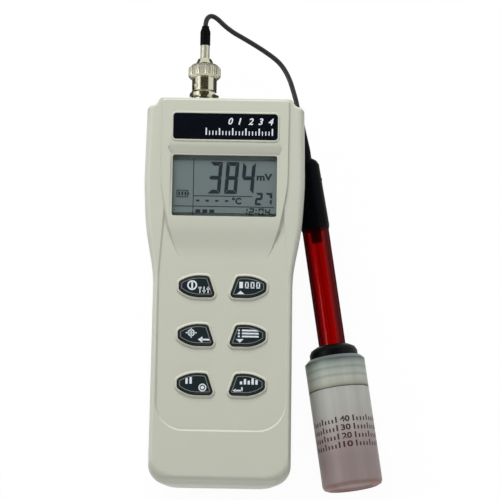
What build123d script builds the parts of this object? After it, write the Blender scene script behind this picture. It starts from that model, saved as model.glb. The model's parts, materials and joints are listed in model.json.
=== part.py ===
from build123d import *
import math
import os

os.makedirs("parts", exist_ok=True)

# Frame: the meter lies on its back, the display looks up +Z and the socket end points along +Y.
# The origin is the middle of the flat back. All sizes are in millimetres and degrees.

# Layout of the face, from the socket end down. The case is as long as these sizes together.
top_margin = 8.0           # from the end to the name plate
plate_width = 12.0
plate_to_window = 6.9
window_width = 28.2
window_to_slope = 4.4
slope_length = 15.0        # where the raised slab falls to the key panel
slope_to_keys = 12.5       # to the middle of the first row of keys
key_pitch = 21.95          # from row to row
key_row_count = 3
keys_to_rail = 20.1        # from the last row to the lower edge of the key panel
low_band = 24.0            # plain band below the key panel

# Case, over all
wing_width = 6.5           # case beyond the raised slab, on each side of the display
grip_half = 31.0           # half the width at the waist and below
flare_z = 26.0             # height of the widest line
parting_z = 17.0           # where the two shells meet, and the height of the sockets
face_z = 31.0              # rails and lower band
display_z = 32.0           # raised slab round the display
panel_z = 30.2             # sunk key panel
wall = 2.2
roof = 2.2
parting_gap = 0.05
base_corner = 9.0
wing_corner = 4.0
wing_drop = 3.3            # step from the raised slab down to each wing, seen from above
wing_slant = 2.2           # how far that step runs outwards
shoulder_bands = 5         # flat bands that make up the rounded edge of the face
shoulder_side = 3.0        # how far the rounded edge reaches in at the sides
shoulder_top = 0.9
shoulder_low = 4.0

# Back half of the case
back_head_half = 25.6
back_grip_half = 24.6
tuck_z = 12.0              # below this height the sides are nearly upright
tuck_head_half = 27.7
tuck_grip_half = 26.8
parting_head_half = 30.7
parting_grip_half = 28.6
back_spine = 19.5          # half the width of the straight end, at the three heights
tuck_spine = 22.0
parting_spine = 25.0
back_drop = 1.0            # step to the wings there
tuck_drop = 1.3
parting_drop = 2.0
back_draft_top = 1.1       # how far the back stops short of each end
back_draft_low = 3.1

# Face
slab_half = 29.5
slab_taper = 10.2          # how far the slab has narrowed at its foot
slab_edge = 1.6            # rounding at the socket end
slab_setback = 0.6         # from the socket end of the case
slab_slant = 30.0
panel_half = 28.2
panel_corner = 12.0
panel_slant = 42.0         # angle of the panel's sides away from upright
panel_tuck = 4.0           # how far its upper end lies inside the slab
plate_length = 46.8
plate_thick = 0.6
plate_corner = 1.5
window_length = 46.7
window_corner = 1.1
window_thick = 1.2
window_ledge = 1.3
window_sink = 1.3          # from the slab down to the window
hood_half = 26.0
hood_reach = 3.8           # from the window up to the foot of the bevel above it
rim_width = 0.9
rim_height = 0.3
rim_slant = 35.0           # of the sides of a rim, away from upright

# Keys
key_column = 11.3
key_rise = 1.4             # above the key panel
key_gap = 0.35
key_lip = 1.1
key_lip_rise = 0.6
key_lip_slant = 0.5
key_flange = 0.9
key_flange_thick = 1.0
key_travel = 0.7
key_bevel = 0.8
flange_gap = 0.1

# Board, keypad and display parts
board_z = 21.0
board_thick = 1.6
board_half = 25.0
board_top_margin = 15.5    # from the socket end of the case to the board
board_low_margin = 27.5
sheet_thick = 1.0
sheet_half = 22.0
sheet_margin = 8.3         # beyond the first and last row of keys
dome_radius = 4.2
dome_top_radius = 2.9
dome_wall = 0.8
dome_gap = 0.05
frame_reach = 1.8          # frame beyond the window, along the case
frame_wall = 1.5
frame_gap = 0.2
glass_reach = 1.65         # glass beyond the window, across the case
glass_thick = 2.2
glass_fit = 0.1
glass_gap = 0.3
strip_width = 2.0
strip_inset = 1.2

# Screws and posts
boss_x = 19.4
boss_margin = 20.5         # from the socket end to the upper pair
boss_radius = 3.3
boss_bore = 1.2
rear_boss_radius = 4.2
screw_head_radius = 2.4
screw_head_high = 1.8
screw_seat_z = 12.0
screw_length = 12.0
screw_gap = 0.05
post_x = 22.0
post_top_drop = 2.0        # below the start of the slope
post_low_drop = 12.6       # below the last row of keys
post_radius = 2.4
prop_x = 20.0
prop_low_drop = 6.6
board_screw_radius = 1.0
board_screw_length = 4.5

# Batteries and their bay
cell_radius = 5.2
cell_length = 43.7
cell_nub_radius = 1.9
cell_nub = 0.8
cell_pitch = 10.8
cell_count = 4
finger_ridges = 5
ridge_pitch = 2.2
cell_z = 8.0
cell_gap = 0.3
contact_thick = 0.4
spring_length = 3.2
bay_low_margin = 12.8      # from the lower end of the case to the bay
bay_wall = 1.6
bay_side_gap = 0.7
cover_thick = 1.8
cover_lift = 0.2
cover_gap = 0.3
cover_travel = 8.0
tab_thick = 1.0
tab_reach = 1.2
tab_root = 0.8
tab_length = 6.0
tab_count = 3
tab_pitch = 20.0
tab_first = 8.0            # from the top of the bay to the first pair
tab_gap = 0.15

# Coaxial socket on the case
socket_x = -10.1
barrel_radius = 4.8
barrel_bore = 4.05
barrel_length = 9.5
socket_flange_radius = 6.6
socket_flange = 2.3
thread_radius = 4.7
thread_length = 11.0
thread_gap = 0.1
lug_radius = 0.95
lug_reach = 5.5
lug_seat = 5.6             # from the flange to the lugs
lug_turn = 133.0           # angle of the first lug above +X
nut_across = 12.5
nut_thick = 2.6
washer_thick = 0.6
washer_radius = 6.4
dielectric_radius = 2.2
contact_radius = 0.75
pin_radius = 0.45

# Temperature jack beside it
jack_x = 14.0
jack_bore = 1.75
jack_depth = 13.0
jack_radius = 3.2
jack_collar_radius = 4.4
jack_collar = 1.2

# Coaxial plug and its turning coupling
coupling_lift = 0.7        # from the flange to the mouth of the coupling
coupling_length = 15.1
mouth_radius = 6.65
mouth_length = 1.6
sleeve_radius = 5.6
sleeve_gap = 0.15
knurl_radius = 7.1
knurl_length = 6.0
knurl_groove = 0.5
knurl_count = 20
slot_pitch = 21.2          # a quarter turn draws the plug in by a quarter of this
slot_gap = 0.2
plug_flange_radius = 5.9
gasket_thick = 0.6
plug_flange = 1.4
plug_neck_radius = 4.2
cone_length = 2.9
cone_end_radius = 3.1
ferrule_radius = 2.08
ferrule_length = 6.5
plug_boot_radius = 2.3
plug_boot_length = 9.2
plug_boot_tip = 1.65
running_gap = 0.1

# Cord
cord_radius = 1.3
cord_share = 0.45

# Electrode, laid along its own axis beside the case
electrode_aside = 5.2      # from the widest part of the case to the middle of the cap's lower end
electrode_y = 31.0
electrode_turn = 8.8       # away from the line of the case
bottle_radius = 13.4       # it lies on the floor, so this is also the height of the axis
boot_reach = 53.0
boot_tip_radius = 1.7
boot_radius = 2.9
shoulder = 33.0
cap_top_radius = 5.9
cap_radius = 6.55
cap_step = 22.5
tube_radius = 6.0
tube_bore = 4.9
tube_sunk = 10.0
tube_end = 98.0
stem_radius = 2.5
stem_end = 6.0
inner_radius = 2.0
inner_bore = 1.3
wire_radius = 0.4
seat_length = 7.0
tip_radius = 1.5
tip_reach = 3.0
junction_radius = 0.9
junction_offset = 3.2

# Soaking bottle
ring_start = 54.0
ring_length = 5.6
ring_radius = 10.75
ring_bore_gap = 0.05
ring_waist = 9.2
ring_under = 1.8
bottle_cap_length = 14.5
bottle_cap_wall = 1.2
bottle_wall = 1.2
neck_radius = 11.7
neck_gap = 0.3
neck_wall = 1.4
seam_gap = 0.15
cap_play = 0.06            # between the cap's roof and the collar on both sides of it
bottle_length = 44.0
foot_dish = 1.2

# Values worked out from the ones above
head_half = slab_half + wing_width
electrode_x = head_half + electrode_aside
case_half = (top_margin + plate_width + plate_to_window + window_width + window_to_slope + slope_length
             + slope_to_keys + (key_row_count - 1) * key_pitch + keys_to_rail + low_band) / 2
plate_y = case_half - top_margin - plate_width / 2
window_top_y = case_half - top_margin - plate_width - plate_to_window
window_y = window_top_y - window_width / 2
slab_low_y = window_top_y - window_width - window_to_slope
slab_end_y = slab_low_y - slope_length
key_rows = [slab_end_y - slope_to_keys - i * key_pitch for i in range(key_row_count)]
panel_bottom_y = key_rows[-1] - keys_to_rail
hood_top_y = window_top_y + hood_reach
widest_y = window_y + 1.5
waist_y = slab_end_y - 6.0
board_top_y = case_half - board_top_margin
board_bottom_y = board_low_margin - case_half
sheet_top_y = key_rows[0] + sheet_margin
sheet_bottom_y = key_rows[-1] - sheet_margin
frame_top_y = window_top_y + frame_reach
frame_bottom_y = window_top_y - window_width - frame_reach
glass_half = window_length / 2 + glass_reach
frame_half = glass_half + glass_fit + frame_wall
boss_top_y = case_half - boss_margin
boss_low_y = (key_rows[0] + key_rows[1]) / 2
post_top_y = slab_low_y - post_top_drop
post_low_y = key_rows[-1] - post_low_drop
prop_low_y = key_rows[-1] - prop_low_drop
flange_end_y = case_half + socket_flange
barrel_end_y = flange_end_y + barrel_length
lug_y = flange_end_y + lug_seat
coupling_mouth_y = flange_end_y + coupling_lift
coupling_end_y = coupling_mouth_y + coupling_length
knurl_y = coupling_end_y - knurl_length
plug_flange_y = barrel_end_y + gasket_thick
cone_end_y = coupling_end_y + cone_length
ferrule_end_y = cone_end_y + ferrule_length
plug_boot_end_y = ferrule_end_y + plug_boot_length
back_lift = parting_z - parting_gap / 2
front_lift = parting_z + parting_gap / 2
roof_z = panel_z - roof
board_top = board_z + board_thick
key_top_z = panel_z + key_rise
flange_top_z = roof_z - flange_gap
flange_low_z = flange_top_z - key_flange_thick
bay_half = cell_pitch * (cell_count - 1) / 2 + cell_radius + bay_side_gap
bay_low_y = bay_low_margin - case_half
bay_top_y = bay_low_y + cell_length + cell_nub + spring_length + 2 * contact_thick + 4 * screw_gap
tab_places = [bay_top_y - tab_first - i * tab_pitch for i in range(tab_count)]
bay_roof_z = cell_z + cell_radius + cell_gap
ring_end = ring_start + ring_length
cap_end = ring_end + bottle_cap_length
neck_top = ring_end + bottle_cap_wall + ring_under + seam_gap
bottle_end = cap_end + seam_gap + bottle_length
window_top_z = display_z - window_sink
glass_top_z = window_top_z - window_thick - glass_gap


# Shared helpers
def save(name, *solids):
    """Write one named piece, or a group of alike ones."""
    flat = [s for item in solids for s in item.solids()]
    shape = flat[0] if len(flat) == 1 else Compound(children=flat)
    export_step(shape, os.path.join("parts", name + ".step"))


def turned(profile, place=Location()):
    """Solid of revolution about local Z from (radius, height) corners."""
    outline = Polyline(*[(r, 0, h) for r, h in profile], close=True)
    return place * revolve(make_face(outline), Axis.Z)


def block(x0, x1, y0, y1, z0, z1):
    """Box between two corners."""
    centre = ((x0 + x1) / 2, (y0 + y1) / 2, (z0 + z1) / 2)
    return Pos(*centre) * Box(abs(x1 - x0), abs(y1 - y0), abs(z1 - z0))


def post(x, y, z0, z1, radius):
    """Upright round bar."""
    return Pos(x, y, (z0 + z1) / 2) * Cylinder(radius, z1 - z0)


def slab(z0, z1, x, y, length, width, corner):
    """Flat plate with rounded corners, centred on x and y."""
    face = Pos(x, y, z0) * RectangleRounded(length, width, corner)
    return extrude(face, z1 - z0)


def mirrored(shape):
    return mirror(shape, Plane.YZ)


def along_y(x, z):
    """Place for parts turned about a line along +Y."""
    return Plane(origin=(x, 0, z), x_dir=(1, 0, 0), z_dir=(0, 1, 0)).location


turn = math.radians(electrode_turn)
electrode_plane = Plane(
    origin=(electrode_x, electrode_y, bottle_radius),
    x_dir=(math.cos(turn), math.sin(turn), 0),
    z_dir=(math.sin(turn), -math.cos(turn), 0),
)
on_electrode = electrode_plane.location
on_socket = along_y(socket_x, parting_z)
on_jack = along_y(jack_x, parting_z)


# Case
def case_outline(z, head, grip, top, bottom, spine, drop, inset=0.0):
    """Closed outline of the case at one height, symmetric about X = 0."""
    head = head - inset
    grip = grip - inset
    top = top - inset
    bottom = bottom - inset
    spine = spine - inset
    knee = 0.22 * (head - grip)
    step = min(wing_slant, 0.4 * (head - spine))
    side = [
        (spine, top),
        (spine + step, top - drop),
        (head - 0.7, top - drop - 0.6),
        (head, widest_y),
        (head - knee, widest_y - 20.0),
        (grip, waist_y),
        (grip + 0.4, -bottom),
    ]
    wing_run = head - 0.7 - (spine + step)
    corner = min(wing_corner, 0.7 * wing_run)
    bend = min(0.3 * drop, 0.3 * wing_run + 0.3)
    radii = [bend, bend, corner, 120.0, 120.0, 70.0, base_corner - inset]
    corners = side + [(-x, y) for x, y in reversed(side)]
    line = FilletPolyline(*corners, radius=radii + radii[::-1], close=True)
    return Pos(0, 0, z) * make_face(line)


def shoulder_level(band):
    """Height and outline sizes at one step up the rounded edge of the face."""
    angle = math.radians(90.0 * band / shoulder_bands)
    fall = 1 - math.cos(angle)
    z = flare_z + (face_z - flare_z) * math.sin(angle)
    return (z, head_half - shoulder_side * fall, grip_half - shoulder_side * 0.6 * fall,
            case_half - shoulder_top * fall, case_half - shoulder_low * fall, slab_half - 0.4 * fall, wing_drop)


def back_levels():
    """Heights and outline sizes from the back up to the parting line."""
    return [
        (0.0, back_head_half, back_grip_half, case_half - back_draft_top, case_half - back_draft_low,
         back_spine, back_drop),
        (tuck_z, tuck_head_half, tuck_grip_half, case_half - 0.2, case_half - 0.6, tuck_spine, tuck_drop),
        (parting_z, parting_head_half, parting_grip_half, case_half, case_half - 0.2, parting_spine, parting_drop),
    ]


def face_levels():
    """Heights and outline sizes from the parting line up to the face."""
    return [back_levels()[-1]] + [shoulder_level(band) for band in range(shoulder_bands + 1)]


def case_form(levels, inset=0.0, lowest=None, highest=None):
    """Ruled body through the outlines, with its end heights moved if asked."""
    faces = []
    for number, (z, *sizes) in enumerate(levels):
        if number == 0 and lowest is not None:
            z = lowest
        if number == len(levels) - 1 and highest is not None:
            z = highest
        faces.append(case_outline(z, *sizes, inset=inset))
    return loft(faces, ruled=True)


def key_outline(side, grow=0.0):
    """Half-leaf outline of one key, its steep end towards the middle. side is -1 or 1."""
    corners = [(-7.8, 2.0), (-2.4, 5.0), (4.9, 4.5), (7.9, -4.35), (-3.4, -4.5), (-7.8, -1.4)]
    face = make_face(FilletPolyline(*corners, radius=[1.2, 16.0, 1.3, 1.3, 13.0, 1.2], close=True))
    if grow:
        face = offset(face, grow)
    return mirrored(face) if side > 0 else face


def key_form(x, y, side, low_z, high_z, grow, drop, run):
    """Upright form of one key's outline whose upper edge slants down by drop over a run."""
    form = extrude(Pos(x, y, low_z) * key_outline(side, grow), high_z - low_z)
    return chamfer(form.faces().sort_by(Axis.Z)[-1].edges(), drop, run)


def key_places():
    """Place and side of each key, top row first."""
    return [(side * key_column, y, side) for y in key_rows for side in (-1, 1)]


def raised_slab():
    """Raised part of the face round the display, which flows down to the key panel."""
    end = case_half - slab_setback
    side = [(slab_half - slab_taper, slab_end_y - 1.0), (slab_half - 0.35 * slab_taper, slab_low_y),
            (slab_half - 0.2, window_y), (slab_half, end)]
    corners = side + [(-x, y) for x, y in reversed(side)]
    radii = [8, 30, 60, 2]
    line = FilletPolyline(*corners, radius=radii + radii[::-1], close=True)
    base_z = panel_z - 0.3
    plan = extrude(Pos(0, 0, base_z) * make_face(line), display_z - base_z, taper=slab_slant)
    low, high = slab_end_y - 1.0, slab_low_y + 5.0
    half_run = 0.5 * (high - low)
    eased = slab_edge * math.sin(math.pi / 4)
    outline = [
        Line((0, low, base_z), (0, low, panel_z - 0.02)),
        Bezier((0, low, panel_z - 0.02), (0, low + half_run, panel_z - 0.02), (0, high - half_run, display_z),
               (0, high, display_z)),
        Line((0, high, display_z), (0, end - slab_edge, display_z)),
        ThreePointArc((0, end - slab_edge, display_z), (0, end - slab_edge + eased, display_z - slab_edge + eased),
                      (0, end, display_z - slab_edge)),
        Line((0, end, display_z - slab_edge), (0, end, base_z)),
        Line((0, end, base_z), (0, low, base_z)),
    ]
    return plan & extrude(make_face(outline), slab_half + 2, both=True)


def key_panel_cut():
    """Sunk key panel with slanting sides and rounded lower corners, which runs out under the slab."""
    side = [(panel_half, panel_bottom_y), (panel_half, waist_y), (slab_half - panel_tuck, window_y)]
    corners = side + [(-x, y) for x, y in reversed(side)]
    line = FilletPolyline(*corners, radius=[panel_corner, 40, 2, 2, 40, panel_corner], close=True)
    return extrude(Pos(0, 0, panel_z) * make_face(line), 2.0, taper=-panel_slant)


def hood_cut():
    """Slanting recess that shades the window, deepest at the window's upper edge and narrower there."""
    low_y = window_y - window_width / 2 - rim_width
    high_y = window_y + window_width / 2 + rim_width
    inner = window_length / 2 + rim_width
    profile = Polyline((0, hood_top_y, display_z + 0.01), (0, high_y, window_top_z + 0.15),
                       (0, low_y, display_z + 0.01), close=True)
    wedge = extrude(make_face(profile), hood_half, both=True)
    side = [(hood_half, hood_top_y + 0.5), (inner, high_y - 1.0), (inner, low_y - 1.0)]
    corners = side + [(-x, y) for x, y in reversed(side)]
    line = FilletPolyline(*corners, radius=[1.2, 1.0, 0, 0, 1.0, 1.2], close=True)
    return wedge & extrude(Pos(0, 0, window_top_z - 1) * make_face(line), 4.0)


def front_case_openings():
    """Everything cut through or into the face."""
    window = slab(window_top_z - 0.2, display_z + 2, 0, window_y, window_length, window_width, window_corner)
    ledge = slab(roof_z - 1, window_top_z + 0.02, 0, window_y, window_length + 2 * window_ledge,
                 window_width + 2 * window_ledge, window_corner)
    plate = slab(display_z - plate_thick, display_z + 1, 0, plate_y, plate_length + 0.1,
                 plate_width + 0.1, plate_corner)
    room = block(-frame_half - frame_gap, frame_half + frame_gap, frame_bottom_y - frame_gap,
                 frame_top_y + frame_gap, roof_z - 1, glass_top_z + frame_gap / 2)
    cuts = [window, ledge, plate, room]
    for x, y, side in key_places():
        hole = Pos(x, y, roof_z - 1) * key_outline(side, key_gap)
        cuts.append(extrude(hole, key_rise + roof + 2))
    return cuts


def raised_rims():
    """Thin moulded rims round the plate and each key."""
    plate = RectangleRounded(plate_length + 2 * rim_width, plate_width + 2 * rim_width, plate_corner + rim_width)
    rims = [extrude(Pos(0, plate_y, display_z) * plate, rim_height, taper=rim_slant)]
    for x, y, side in key_places():
        rims.append(key_form(x, y, side, panel_z - 0.3, panel_z + key_lip_rise, key_gap + key_lip,
                             key_lip_rise - 0.05, key_lip_slant))
    return rims


def front_bosses():
    """Screw bosses and board posts hanging from the inside of the face."""
    solids = []
    for x in (-boss_x, boss_x):
        for y in (boss_top_y, boss_low_y):
            solids.append(post(x, y, front_lift, roof_z + 0.5, boss_radius))
    for x in (-post_x, post_x):
        for y in (post_top_y, post_low_y):
            solids.append(post(x, y, board_top, roof_z + 0.5, post_radius))
    return solids


def front_bores():
    """Pilot holes in the bosses and posts."""
    holes = []
    for x in (-boss_x, boss_x):
        for y in (boss_top_y, boss_low_y):
            holes.append(post(x, y, parting_z - 1, parting_z + screw_length - 3.0, boss_bore))
    for x in (-post_x, post_x):
        for y in (post_top_y, post_low_y):
            holes.append(post(x, y, board_top - 1, board_top + board_screw_length, board_screw_radius + screw_gap))
    return holes


def socket_holes():
    """Holes through the top wall for the coaxial socket and the jack."""
    depth = 3 * wall
    start = case_half - 2 * wall
    socket = turned([(0, start), (thread_radius + thread_gap, start), (thread_radius + thread_gap, start + depth),
                     (0, start + depth)], on_socket)
    jack = turned([(0, start), (jack_radius + thread_gap, start), (jack_radius + thread_gap, start + depth),
                   (0, start + depth)], on_jack)
    return [socket, jack]


def make_front_case():
    body = case_form(face_levels(), lowest=front_lift)
    body -= key_panel_cut()
    body += raised_slab()
    for rim in raised_rims():
        body += rim
    body -= hood_cut()
    hollow = [back_levels()[-1], shoulder_level(0), shoulder_level(2)]
    cavity = case_form(hollow, inset=wall, lowest=parting_z - 1, highest=roof_z)
    body -= cavity
    for boss in front_bosses():
        body += boss
    for cut in front_case_openings() + front_bores() + socket_holes():
        body -= cut
    return body


def battery_tray():
    """Walls and roof of the battery bay inside the back."""
    return block(-bay_half - bay_wall, bay_half + bay_wall, bay_low_y - bay_wall, bay_top_y + bay_wall,
                 0, bay_roof_z + bay_wall)


def cover_cuts():
    """Opening for the cover, with the slots and grooves that its tabs run in."""
    cover_half = bay_half + 0.1
    cuts = [
        block(-bay_half, bay_half, bay_low_y, bay_top_y, -1, bay_roof_z),
        block(-cover_half, cover_half, -case_half - 2, bay_top_y + cover_gap, -1, cover_lift + cover_thick + tab_gap),
    ]
    inner = bay_half - tab_root - 2 * cover_gap
    outer = bay_half + tab_reach + cover_gap
    for y in tab_places:
        for sign in (-1, 1):
            x0, x1 = sorted((sign * inner, sign * outer))
            shut_low = y - tab_length / 2 - cover_travel - cover_gap
            shut_high = y + tab_length / 2 + cover_gap
            groove_top = cover_lift + cover_thick + tab_thick + tab_gap
            cuts.append(block(x0, x1, shut_low, shut_high, cover_lift + cover_thick - tab_gap, groove_top))
            cuts.append(block(x0, x1, shut_low, shut_low + tab_length + 2 * cover_gap, -1, groove_top))
    return cuts


def make_rear_case():
    body = case_form(back_levels(), highest=back_lift)
    body -= case_form(back_levels(), inset=wall, lowest=wall, highest=parting_z + 1)
    inside = case_form(back_levels(), highest=back_lift)
    body += battery_tray() & inside
    for x in (-boss_x, boss_x):
        for y in (boss_top_y, boss_low_y):
            body += post(x, y, wall / 2, back_lift, rear_boss_radius) & inside
    for x in (-prop_x, prop_x):
        body += post(x, window_y, wall / 2, board_z, post_radius)
        body += post(x, prop_low_y, bay_roof_z + bay_wall / 2, board_z, post_radius)
    for cut in cover_cuts() + socket_holes():
        body -= cut
    for x in (-boss_x, boss_x):
        for y in (boss_top_y, boss_low_y):
            body -= post(x, y, -1, screw_seat_z, screw_head_radius + 0.2)
            body -= post(x, y, -1, parting_z + 1, boss_bore + 0.2)
    return body


def make_battery_cover():
    """Sliding cover, with tabs that hook under the sides and finger ridges on the outside."""
    half = bay_half - cover_gap + 0.1
    low_y = back_draft_low - case_half
    plate = block(-half, half, low_y, bay_top_y, cover_lift, cover_lift + cover_thick)
    cover = plate & case_form(back_levels())
    for y in tab_places:
        for sign in (-1, 1):
            x0, x1 = sorted((sign * (half - tab_root), sign * (half + tab_reach)))
            cover += block(x0, x1, y - tab_length / 2, y + tab_length / 2, cover_lift + cover_thick,
                           cover_lift + cover_thick + tab_thick - tab_gap)
    for step in range(finger_ridges):
        y = bay_top_y - 9.0 - ridge_pitch * step
        cover -= block(-9, 9, y - 0.5, y + 0.5, cover_lift - 1, cover_lift + 0.5)
    return cover


# Keys and what lies under them
def make_key(x, y, side):
    """One key: bevelled top through the face and a flange that keeps it in."""
    stem = key_form(x, y, side, flange_top_z - 0.2, key_top_z, 0.0, 0.6 * key_bevel, key_bevel)
    flange = extrude(Pos(x, y, flange_low_z) * key_outline(side, key_flange), key_flange_thick)
    return stem + flange


def make_keypad_sheet():
    """Rubber sheet on the board with one hollow dome under each key."""
    sheet = block(-sheet_half, sheet_half, sheet_bottom_y, sheet_top_y, board_top, board_top + sheet_thick)
    top = flange_low_z - key_travel - dome_gap
    low = board_top + sheet_thick - 0.1
    dome = [(dome_radius, low), (dome_top_radius, top), (0, top), (0, low)]
    hollow = [(dome_radius - dome_wall, board_top - 1), (dome_radius - dome_wall, low),
              (dome_top_radius - dome_wall, top - dome_wall), (0, top - dome_wall), (0, board_top - 1)]
    for x, y, side in key_places():
        sheet += turned(dome, Location((x, y, 0)))
    for x, y, side in key_places():
        sheet -= turned(hollow, Location((x, y, 0)))
    for x in (-boss_x, boss_x):
        sheet -= post(x, boss_low_y, board_top - 1, board_top + 4, boss_radius + 0.5)
    return sheet


def make_main_board():
    board = block(-board_half, board_half, board_bottom_y, board_top_y, board_z, board_top)
    board = fillet(board.edges().filter_by(Axis.Z), 2.0)
    for x in (-boss_x, boss_x):
        for y in (boss_top_y, boss_low_y):
            board -= post(x, y, board_z - 1, board_top + 1, boss_radius + 0.4)
    for x in (-post_x, post_x):
        for y in (post_top_y, post_low_y):
            board -= post(x, y, board_z - 1, board_top + 1, board_screw_radius + 0.2)
    return board


def make_board_chips():
    """Processor, amplifier, crystal can and two capacitors under the board."""
    processor_half, low_part, tall_part, capacitor_radius = 6.0, 1.5, 5.5, 2.5
    can_length, can_width, can_height = 11.0, 4.5, 3.0
    chips = [Pos(0, window_y - 10.5, board_z - low_part / 2) * Box(2 * processor_half, 2 * processor_half, low_part)]
    for x, y in ((-11.5, board_top_y - 10.0), (11.5, slab_low_y - 12.0)):
        chips.append(Pos(x, y, board_z - low_part / 2) * Box(5.0, 4.0, low_part))
    for x in (-12.0, -5.0):
        chips.append(post(x, slab_low_y - 6.0, board_z - tall_part, board_z, capacitor_radius))
    crystal = slab(board_z - can_height, board_z, 9, slab_low_y - 2.0, can_length, can_width, can_width / 2 - 0.05)
    return chips + [crystal]


def make_board_screws():
    """Four small screws up through the board into the posts of the face."""
    head_low = board_z - 1.0
    profile = [(0, head_low), (1.8, head_low), (1.8, board_z), (board_screw_radius, board_z),
               (board_screw_radius, board_top + board_screw_length - 0.5),
               (0, board_top + board_screw_length - 0.2)]
    return [turned(profile, Location((x, y, 0))) for x in (-post_x, post_x) for y in (post_top_y, post_low_y)]


def make_case_screws():
    """Four screws from the back, headed in deep pockets."""
    head_low = screw_seat_z - screw_head_high
    tip = screw_seat_z + screw_length
    shank = boss_bore - screw_gap
    profile = [(0, head_low + 0.8), (0.9, head_low + 0.5), (0.9, head_low), (screw_head_radius - 0.4, head_low),
               (screw_head_radius, head_low + 0.5), (screw_head_radius, screw_seat_z), (shank, screw_seat_z),
               (shank, tip - 0.8), (0, tip)]
    return [turned(profile, Location((x, y, 0))) for x in (-boss_x, boss_x) for y in (boss_top_y, boss_low_y)]


# Display
def make_display_window():
    length = window_length + 2 * window_ledge - 0.2
    width = window_width + 2 * window_ledge - 0.2
    return slab(window_top_z - window_thick, window_top_z, 0, window_y, length, width, window_corner)


def make_lcd_glass():
    """Two bonded glass sheets, the lower one longer so that its edges can be contacted."""
    low_z = glass_top_z - glass_thick
    lower = block(-glass_half, glass_half, frame_bottom_y + frame_wall + 0.1, frame_top_y - frame_wall - 0.1,
                  low_z, low_z + glass_thick / 2)
    upper = block(-glass_half, glass_half, frame_bottom_y + frame_wall + 2.4, frame_top_y - frame_wall - 2.4,
                  low_z + glass_thick / 2, glass_top_z)
    return lower + upper


def make_display_frame():
    """Moulded frame that holds the glass and the two contact strips over the board."""
    low_z = glass_top_z - glass_thick
    frame = block(-frame_half, frame_half, frame_bottom_y, frame_top_y, board_top, glass_top_z - 0.6)
    frame -= block(-glass_half - 0.1, glass_half + glass_fit, frame_bottom_y + frame_wall, frame_top_y - frame_wall,
                   low_z, glass_top_z + 1)
    inner = frame_wall + strip_inset + strip_width + 1.4
    frame -= block(-glass_half + 3, glass_half - 3, frame_bottom_y + inner, frame_top_y - inner,
                   board_top - 1, glass_top_z + 1)
    for y in strip_places():
        frame -= block(-glass_half + 1, glass_half - 1, y - strip_width / 2 - 0.1, y + strip_width / 2 + 0.1,
                       board_top - 1, glass_top_z)
    return frame


def strip_places():
    """Middle line of each contact strip."""
    reach = frame_wall + strip_inset + strip_width / 2
    return (frame_bottom_y + reach, frame_top_y - reach)


def make_contact_strips():
    low_z = glass_top_z - glass_thick
    return [block(-glass_half + 1.2, glass_half - 1.2, y - strip_width / 2, y + strip_width / 2, board_top, low_z)
            for y in strip_places()]


def make_name_plate():
    return slab(display_z - plate_thick, display_z, 0, plate_y, plate_length, plate_width, plate_corner)


# Batteries
def cell_places():
    """X of each cell and which way its raised end points."""
    first = -cell_pitch * (cell_count - 1) / 2
    return [(first + i * cell_pitch, 1 if i % 2 == 0 else -1) for i in range(cell_count)]


def make_batteries():
    cells = []
    for x, way in cell_places():
        profile = [(0, 0), (cell_radius - 0.3, 0), (cell_radius, 0.3), (cell_radius, cell_length - 0.4),
                   (cell_radius - 0.5, cell_length), (cell_nub_radius, cell_length),
                   (cell_nub_radius, cell_length + cell_nub), (0, cell_length + cell_nub)]
        start = bay_low_y + contact_thick + spring_length + 3 * screw_gap
        if way < 0:
            start = bay_top_y - contact_thick - spring_length - 3 * screw_gap
        place = Plane(origin=(x, start, cell_z), x_dir=(1, 0, 0), z_dir=(0, way, 0)).location
        cells.append(turned(profile, place))
    return cells


def make_battery_plates():
    """Plated contact strips against both ends of the bay."""
    half = cell_radius - 0.8
    plates = []
    for x, way in cell_places():
        for y0 in (bay_low_y, bay_top_y - contact_thick):
            plates.append(block(x - half, x + half, y0, y0 + contact_thick, cell_z - half, cell_z + half))
    return plates


def make_battery_springs():
    """Conical contact springs at the flat end of each cell."""
    springs = []
    wide, narrow, thick = cell_radius - 1.6, cell_radius - 3.0, 0.5
    for x, way in cell_places():
        start = bay_low_y + contact_thick if way > 0 else bay_top_y - contact_thick
        place = Plane(origin=(x, start + way * screw_gap, cell_z), x_dir=(1, 0, 0), z_dir=(0, way, 0)).location
        profile = [(wide - thick, 0), (wide, 0), (narrow, spring_length), (narrow - thick, spring_length)]
        springs.append(turned(profile, place))
    return springs


# Coaxial socket
def make_socket_body():
    """Panel socket: threaded tail, flange, barrel and two bayonet lugs."""
    start = case_half - thread_length
    body = turned([
        (dielectric_radius, start),
        (thread_radius, start),
        (thread_radius, case_half),
        (socket_flange_radius, case_half),
        (socket_flange_radius, flange_end_y - 0.5),
        (socket_flange_radius - 0.5, flange_end_y),
        (barrel_radius, flange_end_y),
        (barrel_radius, barrel_end_y - 0.3),
        (barrel_radius - 0.3, barrel_end_y),
        (barrel_bore, barrel_end_y),
        (barrel_bore, flange_end_y + 0.4),
        (dielectric_radius, flange_end_y + 0.4),
    ], on_socket)
    for half_turn in (0, 180):
        angle = math.radians(lug_turn + half_turn)
        middle = (barrel_radius - 0.3 + lug_reach) / 2
        spot = (socket_x + middle * math.cos(angle), lug_y, parting_z + middle * math.sin(angle))
        way = (math.cos(angle), 0, math.sin(angle))
        lug = Cylinder(lug_radius, lug_reach - barrel_radius + 0.3)
        body += Plane(origin=spot, z_dir=way).location * lug
    return body


def make_socket_insulator():
    start = case_half - thread_length
    return turned([
        (contact_radius, start - 1.0),
        (dielectric_radius - 0.02, start - 1.0),
        (dielectric_radius - 0.02, barrel_end_y - 3.0),
        (contact_radius, barrel_end_y - 3.0),
    ], on_socket)


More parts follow.
